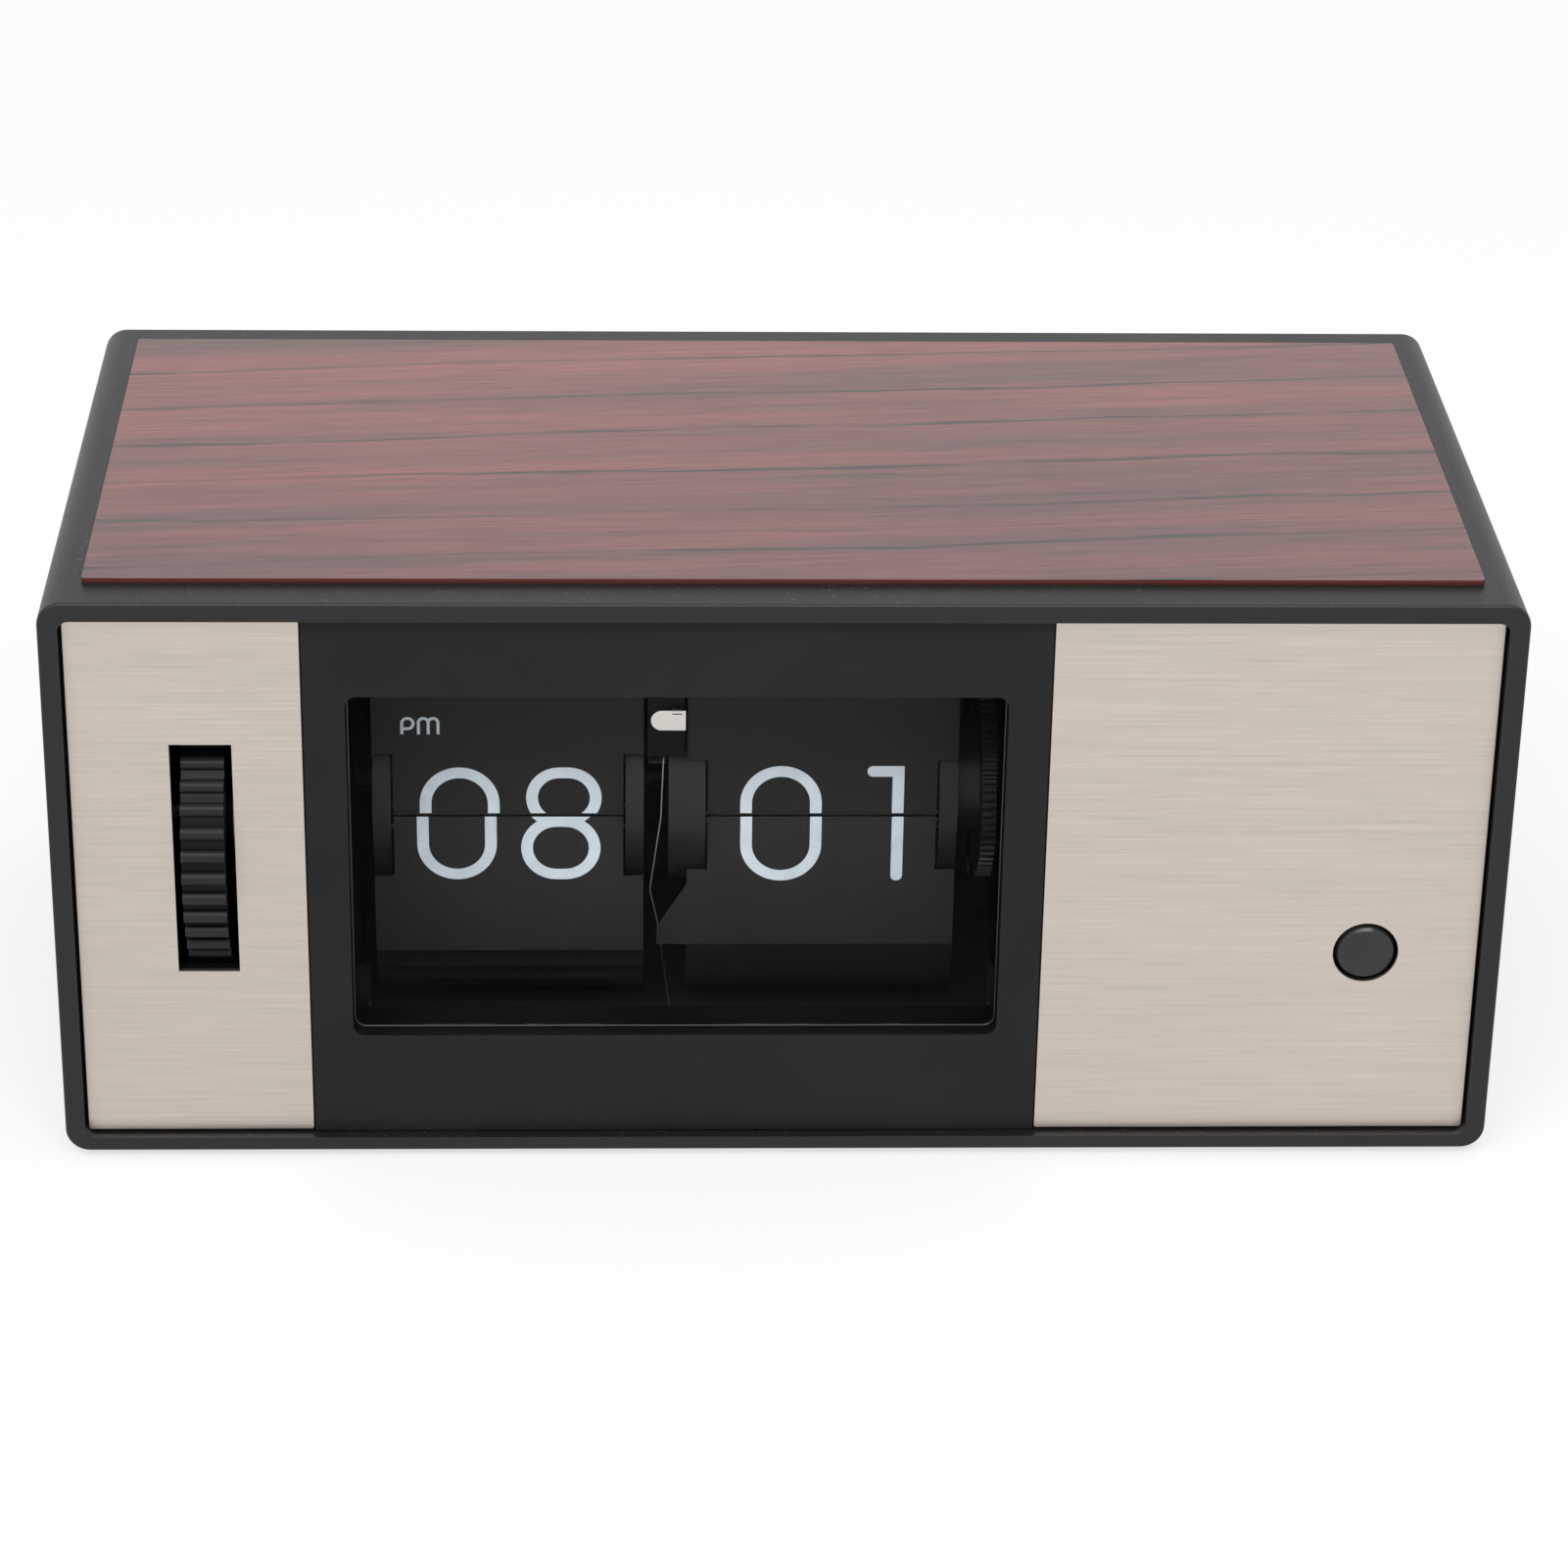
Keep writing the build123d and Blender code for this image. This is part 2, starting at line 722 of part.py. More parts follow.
def make_circuit_board():
    """Timing board on two standoffs beside the motor, with a chip and a crystal can."""
    x0 = right_plate_x + side_plate_thickness
    y0 = side_plate_front + side_plate_corner
    y1 = y0 + board_length
    z0 = plate_high - side_plate_corner - board_height
    middle = (y0 + y1) / 2
    board_x = x0 + board_standoff
    top = board_x + board_thickness
    board = along_x(rect(y0, y1, z0, z0 + board_height, board_corner), board_x, top)
    for y in (y0 + standoff_inset, y1 - standoff_inset):
        board += along_x(disc(y, z0 + board_height / 2, standoff_radius), x0, board_x)
    chip_z = z0 + chip_lift
    chip = rect(middle - chip_length / 2, middle + chip_length / 2, chip_z, chip_z + chip_height)
    board += along_x(chip, top, top + chip_thickness)
    half = crystal_length / 2
    crystal_z = z0 + crystal_lift
    crystal = rect(middle - half, middle + half, crystal_z, crystal_z + crystal_height, crystal_corner)
    return board + along_x(crystal, top, top + crystal_thickness)


def leaf_root(count):
    """Distance from a leaf's pivot to its root edge, which leaves the split between two leaves."""
    return pivot_radius * math.sin(math.pi / count) - leaf_split / 2


def leaf_profile(left, count, trip_ear):
    """Leaf outline as (x, distance from the pivot): wide body, narrow root and two ears."""
    notch = flange_thickness + leaf_side_gap
    shoulder = math.sqrt(flange_radius ** 2 - pivot_radius ** 2) + leaf_notch_gap
    right = left + drum_width
    outline = rect(left, right, shoulder, leaf_length)
    outline += rect(left + notch, right - notch, -leaf_root(count), shoulder)
    reach = notch - ear_length
    outline += rect(left + reach, right - reach, -ear_height / 2, ear_height / 2)
    if trip_ear:
        outline += make_face(
            Polyline(
                (left, leaf_length),
                (left - trip_ear_width, leaf_length),
                (left - trip_ear_width, leaf_length - trip_ear_foot),
                (left, shoulder + trip_ear_gap),
                close=True,
            )
        )
    return outline


def make_leaf(left, count, y, z, turn, trip_ear=False):
    """One leaf on its pivot, turned back from upright by an angle in degrees."""
    plane = Plane(origin=(0, -leaf_thickness / 2, 0), x_dir=(1, 0, 0), z_dir=(0, -1, 0))
    flat = extrude(plane * leaf_profile(left, count, trip_ear), amount=leaf_thickness, dir=(0, 1, 0))
    return Pos(0, y, z) * Rot(-turn, 0, 0) * flat


def fan_turn(angle):
    """Turn of a stacked leaf whose pivot stands at an angle from the front, over the top, to the back."""
    at_end = stack_lean + fan_end - fan_start
    if angle <= fan_end:
        return stack_lean + max(0.0, angle - fan_start)
    return at_end + (leaf_hang - at_end) * min(1.0, (angle - fan_end) / (fan_bottom - fan_end))


def make_leaf_stack(left, count):
    """All the leaves behind the two that show, each leaning or hanging as it does on a resting drum."""
    pitch = 360 / count
    leaves = []
    for k in range(1, count - 1):
        angle = pitch / 2 + k * pitch
        y = drum_y - pivot_radius * math.cos(math.radians(angle))
        z = drum_z + pivot_radius * math.sin(math.radians(angle))
        leaves.append(make_leaf(left, count, y, z, fan_turn(angle)))
    return leaves


def show_pivot(count):
    """Height of the front pivots above and below the middle of the drum."""
    return pivot_radius * math.sin(math.pi / count)


def make_flip_leaf(left, count):
    """Upper front leaf with round pivots, which falls forward when the minute or the hour changes."""
    z = drum_z + show_pivot(count)
    leaf = make_leaf(left, count, flip_y, z, flip_lean)
    notch = flange_thickness + leaf_side_gap
    right = left + drum_width
    for x in (left + notch - ear_length, right - notch):
        leaf += along_x(disc(flip_y, z, ear_height / 2), x, x + ear_length)
    return leaf


def make_lower_leaf(left, count, trip_ear):
    """Lower front leaf, which hangs from the drum."""
    return make_leaf(left, count, lower_y, drum_z - show_pivot(count), leaf_hang, trip_ear)


def side_plate_profile():
    """Outline of a side plate, round at the top and square at the foot, with its base screw holes."""
    outline = rect(side_plate_front, side_plate_back, plate_low, plate_high, side_plate_corner)
    outline += rect(side_plate_front, side_plate_back, plate_low, plate_low + side_plate_corner)
    for y in lug_places():
        outline -= disc(y, lug_screw_z(), frame_screw_radius)
    return outline


def lug_places():
    """Middles of the base's two upright lugs at each end, along Y."""
    return (side_plate_front + lug_width, side_plate_back - lug_width)


def lug_screw_z():
    """Height of the screws that hold the side plates to the base."""
    return base_high + lug_height / 2


def pillar_places():
    """Centres of the pillars that tie the side plates together, as (y, z)."""
    rear = side_plate_back - pillar_inset
    return [(bar_y, bar_z), (rear, bar_z), (rear, plate_low + lug_height + pillar_lift)]


def make_left_side_plate():
    """Left plate, with bearings for the hour sleeve, the idler stud and the setting pin."""
    profile = side_plate_profile() - disc(drum_y, drum_z, sleeve_radius + running_gap)
    profile -= disc(idler_y, drum_z, idler_stud_radius)
    profile -= disc(wheel_y, wheel_z, shaft_radius + running_gap)
    return along_x(profile, left_plate_x, left_plate_x + side_plate_thickness)


def make_right_side_plate():
    """Right plate, with the main bearing, the motor's opening and the motor's screw holes."""
    profile = side_plate_profile() - disc(drum_y, drum_z, shaft_radius + running_gap)
    profile -= disc(motor_y, motor_z, motor_opening)
    for side in (-1, 1):
        profile -= disc(motor_y + side * motor_ear, motor_z, frame_screw_radius)
    return along_x(profile, right_plate_x, right_plate_x + side_plate_thickness)


def make_movement_base():
    """Floor tray of the movement with two lugs at each end for the side plates."""
    x0 = left_plate_x
    x1 = right_plate_x + side_plate_thickness
    base = along_z(rect(x0, x1, side_plate_front, side_plate_back, base_corner), base_low, base_high)
    inner0 = x0 + side_plate_thickness
    inner1 = x1 - side_plate_thickness
    for y in lug_places():
        profile = rect(y - lug_width / 2, y + lug_width / 2, base_high, base_high + lug_height)
        profile -= disc(y, lug_screw_z(), frame_screw_radius)
        base += along_x(profile, inner0, inner0 + lug_thickness)
        base += along_x(profile, inner1 - lug_thickness, inner1)
    return base


def make_frame_screws():
    """Four screws through the side plates into the base's lugs."""
    screws = []
    x0 = left_plate_x
    x1 = right_plate_x + side_plate_thickness
    for y in lug_places():
        head = disc(y, lug_screw_z(), frame_screw_head)
        pin = disc(y, lug_screw_z(), frame_screw_radius)
        left = along_x(head, x0 - frame_screw_radius, x0)
        screws.append(left + along_x(pin, x0, x0 + side_plate_thickness + lug_thickness))
        right = along_x(head, x1, x1 + frame_screw_radius)
        screws.append(right + along_x(pin, x1 - side_plate_thickness - lug_thickness, x1))
    return screws


def make_frame_pillars():
    """Three round pillars between the side plates."""
    x0 = left_plate_x + side_plate_thickness
    return [along_x(disc(y, z, pillar_radius), x0, right_plate_x) for y, z in pillar_places()]


def gap_middle():
    """Middle of the gap between the two drums' leaves."""
    return (hour_left + drum_width + minute_left) / 2


def make_catch_bracket():
    """Dark bent strip that hangs from the front pillar between the drums and carries the leaf catch."""
    back = drum_y - catch_setback
    top = bar_z + pillar_radius
    profile = rect(back - catch_sheet, back, drum_z + catch_bracket_above, top + catch_sheet)
    profile += rect(bar_y - pillar_radius, back, top, top + catch_sheet)
    half = catch_strip / 2
    return along_x(profile, gap_middle() - half, gap_middle() + half)


def make_leaf_catch():
    """Bright sprung tab with a round tip and a curled top, beside the edge of the standing leaves."""
    back = drum_y - catch_setback - catch_sheet
    front = back - catch_tab_thickness
    right = minute_left - leaf_side_gap
    low = drum_z + catch_tab_above
    high = low + catch_tab_height
    tip = catch_tab_height / 2
    tab = rect(right - catch_tab_length + tip, right, low, high)
    tab += disc(right - catch_tab_length + tip, low + tip, tip)
    curl = disc(back - catch_curl_radius - running_gap, high, catch_curl_radius)
    curl_end = right - catch_curl_radius
    return along_y(tab, front, back) + along_x(curl, curl_end - catch_curl_length, curl_end)


def make_trip_wire():
    """Bent spring wire in the gap between the drums, standing on the base beside the trip ear."""
    y = lower_y - wire_forward
    middle = gap_middle()
    route = FilletPolyline(
        (middle + wire_foot_right, y + wire_foot, base_high),
        (middle + wire_foot_right, y + wire_foot, base_high + wire_foot),
        (middle - wire_knee_left, y, drum_z - wire_knee_low),
        (middle - wire_elbow_left, y, drum_z - wire_elbow_low),
        (middle - wire_bow_left, y, drum_z + wire_bow_high),
        (middle - wire_tip_left, y + wire_tip_back, drum_z + catch_bracket_above - 2 * wire_radius),
        radius=wire_bend,
    )
    start = Plane(origin=route @ 0, z_dir=route % 0)
    return sweep(start * Circle(wire_radius), path=route)


def door_profile(margin):
    """Outline of the battery door, a round-cornered square over the battery tube."""
    side = 2 * (door_radius + margin)
    return Pos(cell_x, cell_z) * RectangleRounded(side, side, rear_field_corner + margin)


def make_rear_cover():
    """Back panel with a raised field, screw holes and the battery opening."""
    cover = along_y(room_profile(panel_gap), rear_inside, back_y)
    field = rect(
        -room_half + rear_field_inset,
        room_half - rear_field_inset,
        room_low + rear_field_inset,
        room_high - rear_field_inset,
        rear_field_corner,
    )
    raised = along_y(field, back_y, rear_outside)
    outer = raised.faces().sort_by(Axis.Y)[-1].edges()
    cover += chamfer(outer, rear_proud / 2)
    for x, z in rear_boss_places():
        cover -= along_y(disc(x, z, rear_screw_radius), rear_inside, rear_outside)
        cover -= along_y(disc(x, z, rear_screw_head + panel_gap), back_y, rear_outside)
    cover -= along_y(door_profile(door_gap), rear_outside - door_thickness, rear_outside)
    return cover - along_y(disc(cell_x, cell_z, tube_bore), rear_inside, rear_outside)


def make_rear_cover_screws():
    """Four screws that hold the rear cover to the case bosses."""
    screws = []
    for x, z in rear_boss_places():
        screw = along_y(disc(x, z, rear_screw_head), back_y, back_y + rear_screw_radius)
        screw += along_y(disc(x, z, rear_screw_radius), rear_inside - rear_screw_reach, back_y)
        screws.append(screw)
    return screws


def make_battery_tube():
    """Moulded tube behind the battery door, closed in front and butted against the rear cover."""
    front = rear_inside - cell_length - cell_nub - tube_wall
    outer = disc(cell_x, cell_z, tube_bore + tube_wall)
    inner = disc(cell_x, cell_z, tube_bore)
    return along_y(outer, front, rear_inside) - along_y(inner, front + tube_wall, rear_inside)


def make_battery_cell():
    """Round dry cell with its raised contact towards the front."""
    front = rear_inside - cell_length
    cell = along_y(disc(cell_x, cell_z, cell_radius), front, rear_inside)
    cell = chamfer(cell.edges().filter_by(GeomType.CIRCLE), cell_round)
    nub_front = front - cell_nub + contact_thickness
    return cell + along_y(disc(cell_x, cell_z, cell_nub_radius), nub_front, front)


def make_battery_contact():
    """Plated contact on the closed end of the battery tube."""
    front = rear_inside - cell_length - cell_nub
    half = contact_width / 2
    plate = rect(cell_x - half, cell_x + half, cell_z - contact_width, cell_z + contact_width, contact_corner)
    return along_y(plate, front, front + contact_thickness)


def make_battery_door():
    """Lid over the battery opening, with a finger notch and a plug that enters the tube."""
    door = along_y(door_profile(0), rear_outside - door_thickness, rear_outside)
    low = cell_z - door_radius + door_grip_inset
    half = door_grip_width / 2
    grip = rect(cell_x - half, cell_x + half, low, low + door_grip_height, door_grip_corner)
    door -= along_y(grip, rear_outside - door_thickness / 2, rear_outside)
    plug_back = rear_outside - door_thickness
    plug = disc(cell_x, cell_z, tube_bore - door_gap)
    plug -= disc(cell_x, cell_z, tube_bore - door_gap - tube_wall)
    return door + along_y(plug, plug_back - door_lip, plug_back)


def make_door_contact():
    """Sprung strip on the inside of the battery door that presses on the cell."""
    back = rear_outside - door_thickness
    front = rear_inside + panel_gap
    half = contact_width
    t = contact_thickness
    profile = make_face(
        Polyline(
            (cell_x - half, back),
            (cell_x - half, back - t),
            (cell_x - half / 2, back - t),
            (cell_x - t, front),
            (cell_x + t, front),
            (cell_x + half / 2, back - t),
            (cell_x + half, back - t),
            (cell_x + half, back),
            (cell_x + half / 2 - t, back),
            (cell_x + t / 2, front + t),
            (cell_x - t / 2, front + t),
            (cell_x - half / 2 + t, back),
            close=True,
        )
    )
    return along_z(profile, cell_z - contact_width / 2, cell_z + contact_width / 2)


def build_parts():
    """Every piece of the clock under the name of its node."""
    hour_right = hour_left + drum_width - flange_thickness
    minute_right = minute_left + drum_width - flange_thickness
    return {
        "case_shell": make_case_shell(),
        "rubber_feet": make_rubber_feet(),
        "top_panel": make_top_panel(),
        "fascia": make_fascia(),
        "left_trim_plate": make_left_trim_plate(),
        "right_trim_plate": make_right_trim_plate(),
        "window_lens": make_window_lens(),
        "rear_cover": make_rear_cover(),
        "rear_cover_screws": make_rear_cover_screws(),
        "battery_tube": make_battery_tube(),
        "battery_cell": make_battery_cell(),
        "battery_contact": make_battery_contact(),
        "battery_door": make_battery_door(),
        "door_contact": make_door_contact(),
        "button": make_button(),
        "switch_block": make_switch_block(),
        "switch_blade": make_switch_blade(),
        "thumbwheel": make_thumbwheel(),
        "thumbwheel_shaft": make_thumbwheel_shaft(),
        "thumbwheel_gear": make_thumbwheel_gear(),
        "thumbwheel_bracket": make_thumbwheel_bracket(),
        "movement_base": make_movement_base(),
        "left_side_plate": make_left_side_plate(),
        "right_side_plate": make_right_side_plate(),
        "frame_pillars": make_frame_pillars(),
        "frame_screws": make_frame_screws(),
        "main_shaft": make_main_shaft(),
        "minute_flange_left": make_flange(minute_left, 1, shaft_radius),
        "minute_flange_right": make_flange(minute_right, -1, shaft_radius),
        "trip_disc": make_trip_disc(),
        "drive_gear": make_drive_gear(),
        "minute_pinion": make_minute_pinion(),
        "setting_gear": make_setting_gear(),
        "hour_sleeve": make_hour_sleeve(),
        "hour_flange_left": make_flange(hour_left, 1, sleeve_radius),
        "hour_flange_right": make_flange(hour_right, -1, sleeve_radius),
        "hour_gear": make_hour_gear(),
        "idler_cluster": make_idler_cluster(),
        "idler_stud": make_idler_stud(),
        "motor": make_motor(),
        "motor_screws": make_motor_screws(),
        "motor_shaft": make_motor_shaft(),
        "motor_pinion": make_motor_pinion(),
        "circuit_board": make_circuit_board(),
        "minute_flip_leaf": make_flip_leaf(minute_left, minute_leaf_count),
        "minute_lower_leaf": make_lower_leaf(minute_left, minute_leaf_count, True),
        "minute_leaf_stack": make_leaf_stack(minute_left, minute_leaf_count),
        "hour_flip_leaf": make_flip_leaf(hour_left, hour_leaf_count),
        "hour_lower_leaf": make_lower_leaf(hour_left, hour_leaf_count, False),
        "hour_leaf_stack": make_leaf_stack(hour_left, hour_leaf_count),
        "catch_bracket": make_catch_bracket(),
        "leaf_catch": make_leaf_catch(),
        "trip_wire": make_trip_wire(),
    }


def main():
    """Write one STEP file for each node."""
    os.makedirs("parts", exist_ok=True)
    for name, shape in build_parts().items():
        if isinstance(shape, list):
            shape = Compound(children=shape)
        export_step(shape, os.path.join("parts", name + ".step"))


main()
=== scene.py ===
import logging
import math
from dataclasses import dataclass
from enum import Enum
from functools import lru_cache
from typing import Callable, Dict, List, Optional, Protocol, Sequence, Tuple, Union

import bpy
from mathutils import Matrix, Vector


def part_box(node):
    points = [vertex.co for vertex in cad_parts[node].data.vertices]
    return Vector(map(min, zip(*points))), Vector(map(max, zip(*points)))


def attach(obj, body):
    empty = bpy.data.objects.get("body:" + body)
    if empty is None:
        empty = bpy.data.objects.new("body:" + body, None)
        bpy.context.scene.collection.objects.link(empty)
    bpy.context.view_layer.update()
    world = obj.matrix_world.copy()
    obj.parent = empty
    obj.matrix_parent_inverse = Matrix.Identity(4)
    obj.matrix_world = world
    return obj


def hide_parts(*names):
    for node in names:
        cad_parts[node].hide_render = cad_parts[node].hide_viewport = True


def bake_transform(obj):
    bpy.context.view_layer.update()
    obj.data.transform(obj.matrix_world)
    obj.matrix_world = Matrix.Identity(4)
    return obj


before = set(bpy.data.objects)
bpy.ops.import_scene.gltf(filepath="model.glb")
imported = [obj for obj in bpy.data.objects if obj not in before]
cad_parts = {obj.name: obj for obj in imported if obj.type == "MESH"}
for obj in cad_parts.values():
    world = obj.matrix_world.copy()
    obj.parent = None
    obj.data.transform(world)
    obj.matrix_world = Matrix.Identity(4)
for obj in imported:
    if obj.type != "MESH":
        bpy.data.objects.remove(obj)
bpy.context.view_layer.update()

MM = 0.001
NEAR = 1e-6
HAIR = 1e-7
LOG = logging.getLogger("flip_clock")

Colour = Tuple[float, float, float]
Triple = Tuple[float, float, float]
Span = Tuple[float, float]
Values = Dict[Union[str, int], object]
Node = bpy.types.Node
Piece = bpy.types.Object
Socket = bpy.types.NodeSocket
Sockets = bpy.types.bpy_prop_collection
Tree = bpy.types.NodeTree

WHITE: Colour = (1.0, 1.0, 1.0)


class Body(Enum):
    """The moving bodies that new pieces ride on."""

    CLOCK = "clock"
    HOUR_FLAP = "hour_flap"
    MINUTE_FLAP = "minute_flap"
    BATTERY_LID = "battery_lid"
    PUSH_BUTTON = "push_button"


class Half(Enum):
    """Which half of a split number a print shows."""

    UPPER = "upper"
    LOWER = "lower"


class Merge(Enum):
    """How a second solid acts on a piece."""

    ADD = "UNION"
    CUT = "DIFFERENCE"


# Node trees


def scaled(colour: Colour, factor: float) -> Colour:
    """A colour made darker or lighter by a factor."""
    return tuple(min(1.0, c * factor) for c in colour)


class NodeSheet:
    """A shader node tree with short calls to add and join nodes."""

    def __init__(self, tree: Tree) -> None:
        """Start on an empty tree.

        Args:
            tree: The node tree to fill.
        """
        self.tree = tree
        tree.nodes.clear()

    def add(self, kind: str, values: Optional[Values] = None, **settings: object) -> Node:
        """Add a node.

        Args:
            kind: Blender's type name without the ShaderNode prefix.
            values: Inputs, by name or number, with the values or sockets that they take.
            settings: The node's own properties.

        Returns:
            The new node.
        """
        node = self.tree.nodes.new(kind if kind.startswith("NodeGroup") else "ShaderNode" + kind)
        for key, value in settings.items():
            setattr(node, key, value)
        for key, value in (values or {}).items():
            self.feed(node.inputs[key], value)
        return node

    def feed(self, socket: Socket, value: object) -> None:
        """Link a socket to another, or set its value.

        Args:
            socket: The input.
            value: An output socket, a number or a colour.
        """
        if isinstance(value, Socket):
            self.tree.links.new(value, socket)
        elif socket.type == "RGBA" and len(value) == 3:
            socket.default_value = (*value, 1.0)
        else:
            socket.default_value = value

    def maths(self, operation: str, a: object, b: object) -> Socket:
        """Join two values by one of Blender's maths operations."""
        return self.add("Math", {0: a, 1: b}, operation=operation).outputs[0]

    def measure(self, operation: str, a: object, b: object = (0.0, 0.0, 0.0)) -> Socket:
        """A length, a distance or a dot product of vectors."""
        return self.add("VectorMath", {0: a, 1: b}, operation=operation).outputs["Value"]

    def axis(self, name: str, vector: object) -> Socket:
        """One coordinate of a vector."""
        return self.add("SeparateXYZ", {"Vector": vector}).outputs[name]

    def blend(self, share: object, low: object, high: object) -> Socket:
        """Mix two colours by the second one's share."""
        return self.add("Mix", {0: share, 6: low, 7: high}, data_type="RGBA").outputs[2]

    def noise(self, where: object, scale: object, detail: float, roughness: float = 0.5) -> Socket:
        """A noise mask at a place."""
        values = {"Vector": where, "Scale": scale, "Detail": detail, "Roughness": roughness}
        return self.add("TexNoise", values).outputs["Fac"]

    def toned(self, mask: object, colour: Colour, low: float, high: float) -> Socket:
        """A colour times low where a mask is 0 and times high where it is 1."""
        return self.blend(mask, scaled(colour, low), scaled(colour, high))

    def spread(self, value: object, low: float, high: float, start: float = 0.3, end: float = 0.7) -> Socket:
        """Map a mask to values from low, where it is at start, to high, where it is at end."""
        limits = {"From Min": start, "From Max": end, "To Min": low, "To Max": high}
        return self.add("MapRange", {"Value": value, **limits}).outputs["Result"]

    def place(self, scale: Triple = (1.0, 1.0, 1.0), turn: float = 0.0) -> Socket:
        """Object coordinates, turned about Z and then stretched.

        Args:
            scale: Scale along each axis.
            turn: Turn in radians.

        Returns:
            The vector's socket.
        """
        turned = self.add("Mapping", {0: self.add("TexCoord").outputs["Object"],
                                      "Rotation": (0.0, 0.0, turn)})
        return self.add("Mapping", {0: turned.outputs[0], "Scale": scale}).outputs[0]


class MaterialSheet(NodeSheet):
    """The nodes of a new material, on one Principled shader."""

    def __init__(self, name: str, settings: Values) -> None:
        """Start the material.

        Args:
            name: The material's name.
            settings: Plain values of the shader's sockets.
        """
        self.material = bpy.data.materials.new(name)
        self.material.use_nodes = True
        super().__init__(self.material.node_tree)
        self.shader = self.add("BsdfPrincipled", settings)
        self.out = self.add("OutputMaterial", {"Surface": self.shader.outputs[0]})

    def use(self, effect: Tree, **values: float) -> Sockets:
        """Place a shared effect in the material.

        Args:
            effect: The effect's node group.
            values: The effect's values for this material.

        Returns:
            The effect's outputs by name.
        """
        node = self.add("Group", node_tree=effect)
        for key, value in values.items():
            node.inputs[key].default_value = value
        return node.outputs

    def surface(self, colour: Socket, rough: Socket) -> None:
        """Join colour and roughness to the shader."""
        self.feed(self.shader.inputs["Base Color"], colour)
        self.feed(self.shader.inputs["Roughness"], rough)

    def relief(self, height: Socket, strength: float, depth: float) -> None:
        """Let a height mask tilt the shader's normal, to a depth in metres."""
        bump = self.add("Bump", {"Height": height, "Strength": strength, "Distance": depth})
        self.feed(self.shader.inputs["Normal"], bump.outputs["Normal"])


